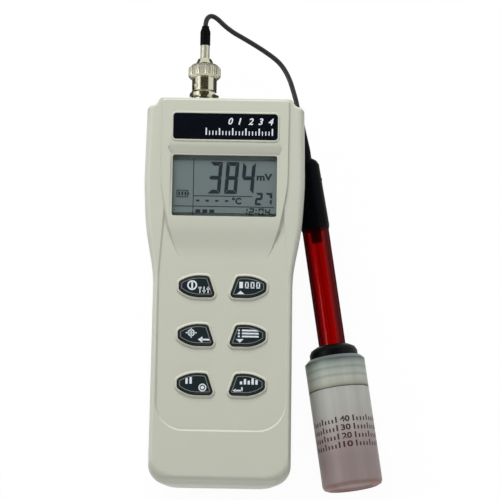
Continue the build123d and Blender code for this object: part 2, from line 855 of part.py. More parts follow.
def make_socket_contact():
    """Hollow centre contact that takes the plug's pin, and its solder tail."""
    start = case_half - thread_length - 3.5
    end = barrel_end_y - 3.2
    radius = contact_radius - 0.02
    return turned([
        (0, start),
        (radius, start),
        (radius, end),
        (pin_radius + 0.1, end),
        (pin_radius + 0.1, end - 6.0),
        (0, end - 6.0),
    ], on_socket)


def make_socket_nut():
    inner = case_half - wall - 0.3
    end = inner - washer_thick
    body = extrude(RegularPolygon(nut_across / 2, 6, major_radius=False), nut_thick)
    body = on_socket * Pos(0, 0, end - nut_thick) * body
    hole = turned([(0, end - nut_thick - 1), (thread_radius + 0.03, end - nut_thick - 1),
                   (thread_radius + 0.03, end + 1), (0, end + 1)], on_socket)
    return body - hole


def make_socket_washer():
    end = case_half - wall - 0.3
    bore = thread_radius + 0.1
    return turned([(bore, end - washer_thick), (washer_radius, end - washer_thick), (washer_radius, end), (bore, end)],
                  on_socket)


def make_temperature_jack():
    """Small round jack for a temperature probe, with a collar outside the wall."""
    end = case_half + jack_collar
    inner = end - jack_depth
    return turned([
        (0, inner - 1.2),
        (jack_radius, inner - 1.2),
        (jack_radius, case_half),
        (jack_collar_radius, case_half),
        (jack_collar_radius, end - 0.4),
        (jack_collar_radius - 0.4, end),
        (jack_bore, end),
        (jack_bore, inner),
        (0, inner),
    ], on_jack)


# Coupling nut with its two helical slots
def slot_cutter(half_turn):
    """Helical channel that one lug runs in, open at the mouth of the coupling."""
    start_y = coupling_mouth_y - 2.0
    end_y = lug_y
    width = 2 * (lug_radius + slot_gap)
    lead_angle = math.atan(slot_pitch / (2 * math.pi * sleeve_radius))
    high = width / math.cos(lead_angle)
    depth = mouth_radius + 1.0 - barrel_radius
    middle = barrel_radius + depth / 2
    path = Helix(slot_pitch, end_y - start_y, middle)
    section = Plane(origin=(middle, 0, 0), x_dir=(1, 0, 0), z_dir=(0, -1, 0)) * Rectangle(depth, high)
    channel = sweep(section, path, is_frenet=True)
    lug_local = -(lug_turn + half_turn)
    begin = lug_local - 360.0 * (end_y - start_y) / slot_pitch
    channel = Rot(0, 0, begin) * channel
    channel = on_socket * Pos(0, 0, start_y) * channel
    angle = math.radians(lug_turn + half_turn)
    way = (math.cos(angle), 0, math.sin(angle))
    spot = (socket_x + middle * way[0], lug_y, parting_z + middle * way[2])
    seat = Plane(origin=spot, z_dir=way).location * Cylinder(lug_radius + slot_gap + 0.05, depth)
    return [channel, seat]


def make_coupling_nut():
    bore = barrel_radius + sleeve_gap
    chamber = plug_flange_radius + running_gap
    shell = turned([
        (bore, coupling_mouth_y),
        (mouth_radius, coupling_mouth_y),
        (mouth_radius, coupling_mouth_y + mouth_length),
        (sleeve_radius, coupling_mouth_y + mouth_length + 1.2),
        (sleeve_radius, knurl_y),
        (knurl_radius - 0.7, knurl_y),
        (knurl_radius, knurl_y + 0.7),
        (knurl_radius, coupling_end_y - 1.2),
        (knurl_radius - 1.6, coupling_end_y),
        (plug_neck_radius + running_gap, coupling_end_y),
        (plug_neck_radius + running_gap, coupling_end_y - 1.0),
        (chamber, coupling_end_y - 1.0),
        (chamber, plug_flange_y - running_gap),
        (bore, plug_flange_y - running_gap),
    ], on_socket)
    middle = (knurl_y + coupling_end_y) / 2
    groove = Cylinder(knurl_groove, coupling_end_y - knurl_y + 2)
    for i in range(knurl_count):
        angle = math.radians(360.0 * i / knurl_count)
        spot = Pos(knurl_radius * math.cos(angle), knurl_radius * math.sin(angle), middle)
        shell -= on_socket * spot * groove
    for half_turn in (0, 180):
        for cutter in slot_cutter(half_turn):
            shell -= cutter
    return shell


# Plug behind the coupling
def make_plug_body():
    """Plug: inner sleeve, flange inside the coupling, neck and cone."""
    flange_end = plug_flange_y + plug_flange
    front = flange_end_y + 1.6
    outer = barrel_bore - 0.1
    bore = dielectric_radius + 0.2
    return turned([
        (bore, front),
        (outer - 0.3, front),
        (outer, front + 0.6),
        (outer, plug_flange_y),
        (plug_flange_radius, plug_flange_y),
        (plug_flange_radius, flange_end),
        (plug_neck_radius, flange_end),
        (plug_neck_radius, coupling_end_y + 0.3),
        (cone_end_radius, cone_end_y),
        (ferrule_radius, cone_end_y),
        (ferrule_radius - 0.5, cone_end_y),
        (ferrule_radius - 0.5, plug_flange_y + 2.4),
        (bore, plug_flange_y + 2.4),
    ], on_socket)


def make_plug_insulator():
    front = barrel_end_y - 2.6
    return turned([
        (pin_radius + 0.02, front),
        (dielectric_radius + 0.18, front),
        (dielectric_radius + 0.18, plug_flange_y + 2.4),
        (pin_radius + 0.02, plug_flange_y + 2.4),
    ], on_socket)


def make_plug_pin():
    tip = barrel_end_y - 8.0
    return turned([(0, tip), (pin_radius - 0.2, tip), (pin_radius, tip + 0.6), (pin_radius, plug_flange_y + 2.4),
                   (0, plug_flange_y + 2.4)], on_socket)


def make_plug_gasket():
    """Rubber ring squeezed between the socket's barrel and the plug's flange."""
    front = barrel_end_y + 0.05
    inner = barrel_bore - 0.05
    return turned([(inner, front), (barrel_radius, front), (barrel_radius, plug_flange_y), (inner, plug_flange_y)],
                  on_socket)


def make_plug_spring():
    """Sprung washer that loads the bayonet, behind the flange."""
    start = plug_flange_y + plug_flange
    end = coupling_end_y - 1.0 - running_gap
    bore = plug_neck_radius + 0.05
    outer = plug_flange_radius
    middle = (start + end) / 2
    return turned([(bore, start), (bore + 0.5, start), (outer, middle - 0.25), (outer, middle + 0.25),
                   (bore + 0.5, end), (bore, end), (bore, end - 0.5), (outer - 0.6, middle),
                   (bore, start + 0.5)], on_socket)


def make_crimp_ferrule():
    bore = cord_radius + 0.02
    return turned([(bore, cone_end_y), (ferrule_radius, cone_end_y), (ferrule_radius, ferrule_end_y),
                   (bore, ferrule_end_y)], on_socket)


def make_plug_boot():
    """Heat-shrunk sleeve over the crimp, narrowing to the cord."""
    length = plug_boot_end_y - ferrule_end_y
    return turned([
        (0, ferrule_end_y),
        (ferrule_radius, ferrule_end_y),
        (plug_boot_radius, ferrule_end_y + 0.5),
        (plug_boot_radius, ferrule_end_y + 0.72 * length),
        (plug_boot_tip, ferrule_end_y + 0.93 * length),
        (plug_boot_tip, plug_boot_end_y),
        (0, plug_boot_end_y),
    ], on_socket)


# Cord from the plug to the electrode, as straight runs joined by arcs
def boot_tip():
    """Point where the cord enters the electrode's boot, and the way out of it."""
    place = electrode_plane.from_local_coords(Vector(0, 0, -boot_reach))
    return place, electrode_plane.z_dir * -1


def cord_route():
    tip, out = boot_tip()
    before = tip + out * 5.0
    return [
        (socket_x, plug_boot_end_y, parting_z),
        (socket_x, 128.0, 17.0),
        (-6.6, 130.0, 16.6),
        (0.4, 124.1, 15.2),
        (9.4, 119.8, 13.2),
        (17.8, 114.6, 11.9),
        (24.4, 109.0, 11.4),
        (28.4, 102.2, 11.6),
        (30.7, 94.6, 12.5),
        (before.X, before.Y, before.Z),
        (tip.X, tip.Y, tip.Z),
    ]


def corner_radii(points):
    """Largest even arc at each inner corner of the route."""
    vectors = [Vector(*p) for p in points]
    radii = []
    for a, b, c in zip(vectors, vectors[1:], vectors[2:]):
        bend = (b - a).get_angle(c - b)
        shorter = min((b - a).length, (c - b).length)
        radii.append(cord_share * shorter / math.tan(math.radians(bend) / 2))
    return radii


def make_cord():
    points = cord_route()
    radii = corner_radii(points)
    print("cord arc radii", [round(r, 1) for r in radii])
    path = FilletPolyline(*points, radius=radii)
    start = Plane(origin=path @ 0, z_dir=path % 0)
    tube = sweep(start * Circle(cord_radius), path)
    expected = math.pi * cord_radius ** 2 * path.length
    print("cord length", round(path.length, 1), "volume", round(tube.volume, 1), "expected", round(expected, 1))
    return tube


# Electrode
def make_electrode_boot():
    """Flexible boot at the head of the electrode."""
    return turned([
        (0, -boot_reach),
        (boot_tip_radius, -boot_reach),
        (boot_radius, -shoulder - 4.0),
        (boot_radius, -shoulder),
        (0, -shoulder),
    ], on_electrode)


def make_electrode_cap():
    """Tapered cap over the head of the tube, with a small step ring."""
    return turned([
        (0, -shoulder),
        (boot_radius, -shoulder),
        (cap_top_radius - 0.9, -shoulder + 1.6),
        (cap_top_radius, -shoulder + 3.4),
        (cap_top_radius + 0.15, -cap_step - 0.5),
        (cap_top_radius + 0.35, -cap_step - 0.5),
        (cap_top_radius + 0.35, -cap_step + 0.3),
        (cap_top_radius + 0.15, -cap_step + 0.5),
        (cap_radius, -1.5),
        (cap_radius - 0.3, 0),
        (tube_radius, 0),
        (tube_radius, -tube_sunk),
        (0, -tube_sunk),
    ], on_electrode)


def make_electrode_tube():
    """Clear red barrel of the electrode, open at both ends."""
    return turned([(tube_bore, -tube_sunk), (tube_radius, -tube_sunk), (tube_radius, tube_end - 0.5),
                   (tube_radius - 0.5, tube_end), (tube_bore, tube_end)], on_electrode)


def make_inner_stem():
    return turned([(0, -tube_sunk), (stem_radius + 1.4, -tube_sunk), (stem_radius + 1.4, -tube_sunk + 4),
                   (stem_radius, -tube_sunk + 6), (stem_radius, stem_end), (0, stem_end)], on_electrode)


def make_inner_tube():
    """Glass tube down the middle that carries the sensing wire."""
    return turned([(inner_bore, stem_end), (inner_radius, stem_end), (inner_radius, tube_end - seat_length),
                   (inner_bore, tube_end - seat_length)], on_electrode)


def make_inner_wire():
    return turned([(0, stem_end), (wire_radius, stem_end), (wire_radius, tube_end - seat_length),
                   (0, tube_end - seat_length)], on_electrode)


def make_tip_seat():
    """Plug that closes the barrel round the sensing tip and the junction."""
    seat = turned([(0, tube_end - seat_length), (tube_bore - 0.02, tube_end - seat_length),
                   (tube_bore - 0.02, tube_end - 0.3), (tube_bore - 0.5, tube_end + 0.4), (0, tube_end + 0.4)],
                  on_electrode)
    seat -= turned([(0, tube_end - 3), (tip_radius, tube_end - 3), (tip_radius, tube_end + 2), (0, tube_end + 2)],
                   on_electrode)
    junction = on_electrode * Pos(junction_offset, 0, 0)
    seat -= turned([(0, tube_end - 3), (junction_radius, tube_end - 3), (junction_radius, tube_end + 2),
                    (0, tube_end + 2)], junction)
    return seat


def make_sensing_tip():
    """Noble metal tip with a rounded end."""
    end = tube_end + tip_reach
    return turned([(0, tube_end - 3), (tip_radius - 0.02, tube_end - 3), (tip_radius - 0.02, end - 0.6),
                   (tip_radius - 0.5, end), (0, end)], on_electrode)


def make_reference_junction():
    place = on_electrode * Pos(junction_offset, 0, 0)
    radius = junction_radius - 0.02
    return turned([(0, tube_end - 3), (radius, tube_end - 3), (radius, tube_end + 0.5), (0, tube_end + 0.5)], place)


# Soaking bottle
def make_seal_grommet():
    """Rubber collar that grips the electrode and seals the bottle's neck."""
    bore = tube_radius + ring_bore_gap
    under = ring_end + bottle_cap_wall
    return turned([
        (bore, ring_start),
        (ring_radius - 3.2, ring_start),
        (ring_radius - 0.9, ring_start + 1.3),
        (ring_radius, ring_start + 3.0),
        (ring_radius, ring_end),
        (ring_waist, ring_end),
        (ring_waist, under),
        (neck_radius - 0.1, under),
        (neck_radius - 0.1, under + ring_under),
        (bore, under + ring_under),
    ], on_electrode)


def make_bottle_cap():
    """Screw cap of the bottle, with an open top that the collar fills."""
    inner = neck_radius + neck_gap
    top = ring_end + cap_play
    ceiling = ring_end + bottle_cap_wall - cap_play
    return turned([
        (ring_waist + running_gap, top),
        (bottle_radius - 1.5, top),
        (bottle_radius, top + 1.5),
        (bottle_radius, cap_end),
        (inner, cap_end),
        (inner, ceiling),
        (ring_waist + running_gap, ceiling),
    ], on_electrode)


def make_bottle():
    """Bottle with a narrower neck inside its cap and a dished foot."""
    neck_bore = neck_radius - neck_wall
    inner = bottle_radius - bottle_wall
    start = cap_end + seam_gap
    return turned([
        (neck_bore, neck_top),
        (neck_radius, neck_top),
        (neck_radius, start),
        (bottle_radius - 0.3, start),
        (bottle_radius, start + 0.3),
        (bottle_radius, bottle_end - 2.0),
        (bottle_radius - 0.6, bottle_end - 0.6),
        (bottle_radius - 2.0, bottle_end),
        (bottle_radius - 4.0, bottle_end - foot_dish),
        (0, bottle_end - foot_dish),
        (0, bottle_end - foot_dish - bottle_wall),
        (bottle_radius - 5.0, bottle_end - foot_dish - bottle_wall),
        (inner, bottle_end - 3.5),
        (inner, start + 3.0),
        (neck_bore, start + 1.2),
    ], on_electrode)


save("front_case", make_front_case())
save("rear_case", make_rear_case())
save("battery_cover", make_battery_cover())
save("case_screws", *make_case_screws())
save("name_plate", make_name_plate())
save("display_window", make_display_window())
save("lcd_glass", make_lcd_glass())
save("display_frame", make_display_frame())
save("contact_strips", *make_contact_strips())
save("main_board", make_main_board())
save("board_chips", *make_board_chips())
save("board_screws", *make_board_screws())
save("keypad_sheet", make_keypad_sheet())
key_names = ("key_power", "key_mode", "key_calibrate", "key_memory", "key_hold", "key_average")
for key_name, key_place in zip(key_names, key_places()):
    save(key_name, make_key(*key_place))
save("batteries", *make_batteries())
save("battery_plates", *make_battery_plates())
save("battery_springs", *make_battery_springs())
save("socket_body", make_socket_body())
save("socket_insulator", make_socket_insulator())
save("socket_contact", make_socket_contact())
save("socket_nut", make_socket_nut())
save("socket_washer", make_socket_washer())
save("temperature_jack", make_temperature_jack())
save("coupling_nut", make_coupling_nut())
save("plug_body", make_plug_body())
save("plug_insulator", make_plug_insulator())
save("plug_pin", make_plug_pin())
save("plug_gasket", make_plug_gasket())
save("plug_spring", make_plug_spring())
save("crimp_ferrule", make_crimp_ferrule())
save("plug_boot", make_plug_boot())
save("cord", make_cord())
save("electrode_boot", make_electrode_boot())
save("electrode_cap", make_electrode_cap())
save("electrode_tube", make_electrode_tube())
save("inner_stem", make_inner_stem())
save("inner_tube", make_inner_tube())
save("inner_wire", make_inner_wire())
save("tip_seat", make_tip_seat())
save("sensing_tip", make_sensing_tip())
save("reference_junction", make_reference_junction())
save("seal_grommet", make_seal_grommet())
save("bottle_cap", make_bottle_cap())
save("bottle", make_bottle())
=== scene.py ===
# %% [markdown]
# # A redox meter with its lead, its red electrode and the soaking bottle
# This lesson dresses a handheld measuring instrument. The solids of the meter come in first and
# stay where they are. Some keep their shape and only get a finish. Others are seen so closely that
# a finer piece is made in their place, and the solid stays behind it as the thing that collides,
# hidden.

# %% The solids
import json
import math

import bmesh
import bpy
from mathutils import Matrix, Vector


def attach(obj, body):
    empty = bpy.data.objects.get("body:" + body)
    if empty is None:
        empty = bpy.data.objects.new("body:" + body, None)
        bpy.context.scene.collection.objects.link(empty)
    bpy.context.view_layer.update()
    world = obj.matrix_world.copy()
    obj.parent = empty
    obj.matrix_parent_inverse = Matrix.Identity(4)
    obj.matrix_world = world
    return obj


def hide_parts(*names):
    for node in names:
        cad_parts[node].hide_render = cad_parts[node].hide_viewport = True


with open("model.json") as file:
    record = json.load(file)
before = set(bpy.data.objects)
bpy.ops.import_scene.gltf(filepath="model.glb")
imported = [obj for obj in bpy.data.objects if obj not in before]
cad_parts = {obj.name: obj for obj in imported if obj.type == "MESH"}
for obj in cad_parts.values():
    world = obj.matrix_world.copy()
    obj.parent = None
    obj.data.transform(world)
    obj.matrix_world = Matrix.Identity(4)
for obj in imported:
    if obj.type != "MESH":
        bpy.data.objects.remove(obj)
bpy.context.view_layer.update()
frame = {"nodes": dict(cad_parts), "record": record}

nodes = frame["nodes"]
record = frame["record"]

# %% [markdown]
# ## Units and places
# The frame is in metres and the meter was drawn in millimetres, so one factor turns one into the
# other. Turned parts lie along two lines: the coaxial socket points out of the top end, and the
# electrode lies at a slant beside the case. Each line gets a matrix whose Z runs along it, and a
# part can then be drawn upright and put down with one multiplication.

# %% Units and places
MM = 0.001
socket_x, socket_z = -10.1, 17.0
electrode_x, electrode_y, electrode_z = 41.2, 31.0, 13.4
electrode_slant = math.radians(8.8)


def place_along(origin, across, along):
    """Matrix that puts local X along `across` and local Z along `along`, at a point in mm."""
    x = Vector(across).normalized()
    z = Vector(along).normalized()
    y = z.cross(x)
    matrix = Matrix((x, y, z)).transposed().to_4x4()
    matrix.translation = Vector(origin) * MM
    return matrix


on_socket = place_along((socket_x, 0, socket_z), (1, 0, 0), (0, 1, 0))
slant_across = (math.cos(electrode_slant), math.sin(electrode_slant), 0)
slant_along = (math.sin(electrode_slant), -math.cos(electrode_slant), 0)
on_electrode = place_along((electrode_x, electrode_y, electrode_z), slant_across, slant_along)
print("electrode at a slant of", round(math.degrees(electrode_slant), 1), "degrees")

# %% [markdown]
# ## Shader sums
# A finish is a small graph of nodes. Written out node by node it hides what it means, so one class
# wraps a socket and gives it the usual operators: `1 - mask` adds a Math node and hands back the
# result. Everything that isn't a sum goes through one method, `node`.

# %% Shader sums
class Link:
    """One value or colour on its way through a finish."""

    def __init__(self, finish, socket):
        self.finish = finish
        self.socket = socket

    def sum_with(self, operation, first, second):
        return self.finish.node("Math", {0: first, 1: second}, operation=operation)

    def __add__(self, other):
        return self.sum_with("ADD", self, other)

    def __radd__(self, other):
        return self.sum_with("ADD", other, self)

    def __sub__(self, other):
        return self.sum_with("SUBTRACT", self, other)

    def __rsub__(self, other):
        return self.sum_with("SUBTRACT", other, self)

    def __mul__(self, other):
        return self.sum_with("MULTIPLY", self, other)

    def __rmul__(self, other):
        return self.sum_with("MULTIPLY", other, self)


class Finish:
    """A material round one Principled shader, whose plain sockets are given by name."""

    def __init__(self, name, **plain):
        self.material = bpy.data.materials.new(name)
        self.material.use_nodes = True
        self.tree = self.material.node_tree
        self.tree.nodes.clear()
        self.exit = self.tree.nodes.new("ShaderNodeOutputMaterial")
        self.shader = self.tree.nodes.new("ShaderNodeBsdfPrincipled")
        self.tree.links.new(self.shader.outputs[0], self.exit.inputs["Surface"])
        for key, value in plain.items():
            self.shader.inputs[key.replace("_", " ")].default_value = value

    def node(self, kind, sockets=None, out=0, **settings):
        """Add a node, set its settings, then feed its sockets with values or links."""
        made = self.tree.nodes.new("ShaderNode" + kind)
        stops = settings.pop("stops", None)
        for key, value in settings.items():
            setattr(made, key, value)
        if stops:
            while len(made.color_ramp.elements) < len(stops):
                made.color_ramp.elements.new(1.0)
            for element, (spot, tone) in zip(made.color_ramp.elements, stops):
                element.position = spot
                element.color = tone
        for key, value in (sockets or {}).items():
            self.feed(made.inputs[key], value)
        return Link(self, made.outputs[out])

    def feed(self, socket, value):
        if isinstance(value, Link):
            self.tree.links.new(value.socket, socket)
        else:
            socket.default_value = value

    def set(self, name, value):
        """Feed one socket of the shader itself."""
        self.feed(self.shader.inputs[name], value)

    def mixed(self, share, first, second):
        """Colour between two colours."""
        return self.node("Mix", {0: share, 6: first, 7: second}, out=2, data_type="RGBA")

    def spots(self, scale, detail=3.0, rough=0.55):
        """Cloudy noise fixed to the object, from 0 to 1. Scale is in features per metre."""
        where = self.node("TexCoord", out=3)
        return self.node("TexNoise", {"Vector": where, "Scale": scale, "Detail": detail, "Roughness": rough})

    def raised(self, height, depth, normal=None):
        """Bump of a depth in metres, fed to the normal."""
        sockets = {"Height": height, "Strength": 1.0, "Distance": depth}
        if normal is not None:
            sockets["Normal"] = normal
        self.set("Normal", self.node("Bump", sockets))


def colour(red, green, blue):
    """Screen colour from 0 to 255 as the linear colour that the shader wants."""
    parts = []
    for value in (red, green, blue):
        share = value / 255
        parts.append(share / 12.92 if share <= 0.04045 else ((share + 0.055) / 1.055) ** 2.4)
    return (*parts, 1.0)


print("a screen grey of 128 is", round(colour(128, 128, 128)[0], 3), "in linear light")

# %% [markdown]
# ## Camera
# The photograph looks almost straight down from above the lower end of the meter, 12 degrees off
# the vertical. The distance of 1.4 m and the long lens give its mild perspective.

# %% Camera
tilt = math.radians(12.0)
roll = math.radians(0.962)
distance = 1400.0
target = Vector((11.86, 20.41, 17.0))
frame_pixels = 500
focal_pixels = 3118
sensor = 36.0

forward = Vector((0, math.sin(tilt), -math.cos(tilt)))
level_up = Vector((0, math.cos(tilt), math.sin(tilt)))
right = Vector((math.cos(roll), 0, 0)) + level_up * math.sin(roll)
up = level_up * math.cos(roll) - Vector((math.sin(roll), 0, 0))

lens = bpy.data.cameras.new("camera")
lens.sensor_width = sensor
lens.lens = sensor * focal_pixels / frame_pixels
lens.clip_start = 0.05
lens.clip_end = 20.0
camera = bpy.data.objects.new("camera", lens)
bpy.context.scene.collection.objects.link(camera)
aim = Matrix((right, up, -forward)).transposed().to_4x4()
aim.translation = (target - forward * distance) * MM
camera.matrix_world = aim
bpy.context.scene.camera = camera
print("lens", round(lens.lens, 1), "mm")

# %% [markdown]
# ## Cord
# The lead is a thin, supple coaxial cable. It leaves the electrode's boot, lies over the corner of
# the case's top end and goes back into the plug. A NURBS spline with a few points bends
# it evenly, and its round section comes from the bevel depth. The spline is turned into a mesh
# twice: without its section it gives the points of the centreline, and with it the cord itself. It
# has to keep its real length, so its points are those of the cord's solid, apart from three near
# the plug that lie up to a millimetre closer to the line in the photograph.

# %% Cord
cord_diameter = 2.2
cord_route = [
    (33.09, 83.38, 13.4),
    (32.33, 88.32, 13.4),
    (30.7, 94.6, 12.5),
    (28.4, 102.2, 11.6),
    (24.4, 109.0, 11.4),
    (17.8, 113.9, 11.9),
    (9.4, 118.8, 13.2),
    (0.4, 123.3, 15.2),
    (-6.6, 130.0, 16.6),
    (socket_x, 128.0, socket_z),
    (socket_x, 124.2, socket_z),
]
curve = bpy.data.curves.new("lead_cord", "CURVE")
curve.dimensions = "3D"
curve.bevel_resolution = 8
curve.resolution_u = 12
curve.use_fill_caps = True
spline = curve.splines.new("NURBS")
spline.points.add(len(cord_route) - 1)
for point, where in zip(spline.points, cord_route):
    point.co = (*(Vector(where) * MM), 1.0)
spline.order_u = 3
spline.use_endpoint_u = True
drawn = bpy.data.objects.new("drawn_line", curve)
centreline = [vertex.co.copy() for vertex in bpy.data.meshes.new_from_object(drawn).vertices]
curve.bevel_depth = cord_diameter / 2 * MM
cord_mesh = bpy.data.meshes.new_from_object(drawn)
cord_mesh.name = "lead_cord"
bpy.data.objects.remove(drawn)
cord_mesh.shade_smooth()
cord = bpy.data.objects.new("lead_cord", cord_mesh)
bpy.context.scene.collection.objects.link(cord)
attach(cord, "lead")
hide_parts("cord")
print("cord", len(centreline), "points,", len(cord_mesh.polygons), "faces")

# %% [markdown]
# ## Studio
# The instrument lies on a white sweep under soft light that comes mostly from beyond its top end.
# The floor keeps a faint shadow, but is white to the camera and in reflections. Bright metal needs
# something dark to reflect, or it looks like paper, so one dark card hangs over the meter and
# another lies under its plug, where only reflections can see them.

# %% Floor
scene = bpy.context.scene
scene.view_settings.view_transform = "Standard"


def level_sheet(name, half_width, near, far, height):
    """Level rectangle across the middle line, all in metres."""
    mesh = bpy.data.meshes.new(name)
    corners = [(-half_width, near, height), (half_width, near, height), (half_width, far, height),
               (-half_width, far, height)]
    mesh.from_pydata(corners, [], [(0, 1, 2, 3)])
    sheet = bpy.data.objects.new(name, mesh)
    scene.collection.objects.link(sheet)
    return sheet


half_floor, floor_z = 4.0, -0.0002
white_in_view, white_in_mirrors = 0.96, 0.75
floor = level_sheet("floor", half_floor, -half_floor, half_floor, floor_z)
paper = Finish("white_sweep", Base_Color=(0.93, 0.93, 0.93, 1), Roughness=0.9)
rays = paper.tree.nodes.new("ShaderNodeLightPath")
seen = Link(paper, rays.outputs["Is Camera Ray"])
glossy = Link(paper, rays.outputs["Is Glossy Ray"])
through = Link(paper, rays.outputs["Is Transmission Ray"])
glow = paper.node("Emission", {"Color": (1, 1, 1, 1), "Strength": 1.0})
white_share = (seen + through) * white_in_view + glossy * white_in_mirrors
shown = paper.node("MixShader", {0: white_share, 1: Link(paper, paper.shader.outputs[0]), 2: glow})
paper.tree.links.new(shown.socket, paper.exit.inputs["Surface"])
floor.data.materials.append(paper.material)
print("floor", 2 * half_floor, "m wide")

# %% Sky
sky_light, sky_in_mirrors = 0.27, 0.95
world = bpy.data.worlds.new("studio")
world.use_nodes = True
scene.world = world
backdrop = world.node_tree.nodes["Background"]
backdrop.inputs["Color"].default_value = (1, 1, 1, 1)
sky_rays = world.node_tree.nodes.new("ShaderNodeLightPath")
sky_mix = world.node_tree.nodes.new("ShaderNodeMapRange")
sky_mix.inputs["To Min"].default_value = sky_light
sky_mix.inputs["To Max"].default_value = sky_in_mirrors
world.node_tree.links.new(sky_rays.outputs["Is Glossy Ray"], sky_mix.inputs["Value"])
world.node_tree.links.new(sky_mix.outputs["Result"], backdrop.inputs["Strength"])
print("sky", sky_light, "as light and", sky_in_mirrors, "in mirrors")

# %% Lamps
meter_middle = Vector((0, 0.03, 0))


def soft_lamp(name, where, size, watts, mirrored=True):
    """Square area lamp that faces the meter, all in metres. mirrored says if bright metal shows it."""
    lamp = bpy.data.lights.new(name, "AREA")
    lamp.shape = "SQUARE"
    lamp.size = size
    lamp.energy = watts
    holder = bpy.data.objects.new(name, lamp)
    scene.collection.objects.link(holder)
    holder.visible_glossy = mirrored
    holder.location = where
    holder.rotation_euler = (meter_middle - Vector(where)).to_track_quat("-Z", "Y").to_euler()


soft_lamp("lamp_beyond", (-0.2, 1.3, 0.75), 0.7, 27.0, mirrored=False)
soft_lamp("lamp_left", (-1.1, 0.1, 0.9), 0.6, 4.0)
soft_lamp("lamp_right", (1.2, -0.1, 0.9), 0.6, 2.5)
soft_lamp("lamp_near", (0.1, -1.2, 0.3), 0.6, 3.0)
print("lamps", len(bpy.data.lights))


# %% Dark cards
def dark_card(name, half_width, near, far, height, shade):
    """Level card that only reflections see, in metres."""
    card = level_sheet(name, half_width, near, far, height)
    card.data.materials.append(Finish(name, Base_Color=shade, Roughness=1.0).material)
    card.visible_camera = False
    card.visible_diffuse = False
    card.visible_transmission = False
    card.visible_shadow = False
    print(name, "at a height of", height, "m")


dark_card("dark_card", 0.62, -0.9, 1.2, 0.8, (0.05, 0.048, 0.03, 1))
# Painted shade: the low card stands for the darker floor under the plug, as the metal reflects it.
dark_card("floor_shade_card", 0.6, 0.09, 0.6, 0.0001, (0.06, 0.06, 0.045, 1))

# %% [markdown]
# ## Smooth solids
# The solids come in as flat triangles. Shading them smoothly would smear their corners, so a small
# modifier joins the triangles, asks each edge how sharply it folds, and lets only the shallow folds
# shade smoothly. A second modifier leans each normal towards the larger face beside it, which keeps
# flat walls flat next to a rounding.

# %% Smooth solids
fold_limit = math.radians(33.0)
weld_reach = 0.000001


def smoothing_group():
    """Geometry nodes that weld the triangles and smooth every shallow fold."""
    group = bpy.data.node_groups.new("smooth_shallow_folds", "GeometryNodeTree")
    group.interface.new_socket("Geometry", in_out="INPUT", socket_type="NodeSocketGeometry")
    group.interface.new_socket("Geometry", in_out="OUTPUT", socket_type="NodeSocketGeometry")
    enter = group.nodes.new("NodeGroupInput")
    weld = group.nodes.new("GeometryNodeMergeByDistance")
    weld.inputs["Distance"].default_value = weld_reach
    fold = group.nodes.new("GeometryNodeInputMeshEdgeAngle")
    sharp = group.nodes.new("FunctionNodeCompare")
    sharp.operation = "GREATER_THAN"
    sharp.inputs[1].default_value = fold_limit
    faces = group.nodes.new("GeometryNodeSetShadeSmooth")
    edges = group.nodes.new("GeometryNodeSetShadeSmooth")
    edges.domain = "EDGE"
    edges.inputs["Shade Smooth"].default_value = False
    leave = group.nodes.new("NodeGroupOutput")
    group.links.new(enter.outputs[0], weld.inputs["Geometry"])
    group.links.new(weld.outputs["Geometry"], faces.inputs["Geometry"])
    group.links.new(faces.outputs[0], edges.inputs["Geometry"])
    group.links.new(fold.outputs["Unsigned Angle"], sharp.inputs[0])
    group.links.new(sharp.outputs[0], edges.inputs["Selection"])
    group.links.new(edges.outputs[0], leave.inputs[0])
    return group


smoothing = smoothing_group()
for solid in nodes.values():
    solid.modifiers.new("smooth", "NODES").node_group = smoothing
    lean = solid.modifiers.new("lean", "WEIGHTED_NORMAL")
    lean.keep_sharp = True
print("smoothed", len(nodes), "solids")

# %% [markdown]
# ## Finishes of the solids
# Every solid keeps its shape and gets the finish of its real piece. The moulded case is a warm
# light grey with a fine spark-eroded texture, and a Bevel node rounds its edges a little, as a mould
# does. Rubber and black plastics are nearly black and differ in their gloss.

# %% Plastics and rubbers
clouds_scale, clouds_gloss = 55.0, 0.16


def moulded(name, base, rough=0.5, grain=900.0, depth=0.00002, change=0.06, rounding=0.0, shine=0.5):
    """Moulded plastic: faint clouds of colour, uneven gloss and a fine grain."""
    finish = Finish(name, Base_Color=base, Roughness=rough, IOR=1.46, Specular_IOR_Level=shine)
    clouds = finish.spots(clouds_scale)
    lighter = tuple(min(1.0, c * (1 + change)) for c in base[:3]) + (1.0,)
    darker = tuple(c * (1 - change) for c in base[:3]) + (1.0,)
    finish.set("Base Color", finish.mixed(clouds, darker, lighter))
    finish.set("Roughness", rough - clouds_gloss / 2 + clouds * clouds_gloss)
    soft = finish.node("Bevel", {"Radius": rounding * MM}, samples=4) if rounding else None
    finish.raised(finish.spots(grain, detail=2.0), depth, soft)
    return finish.material


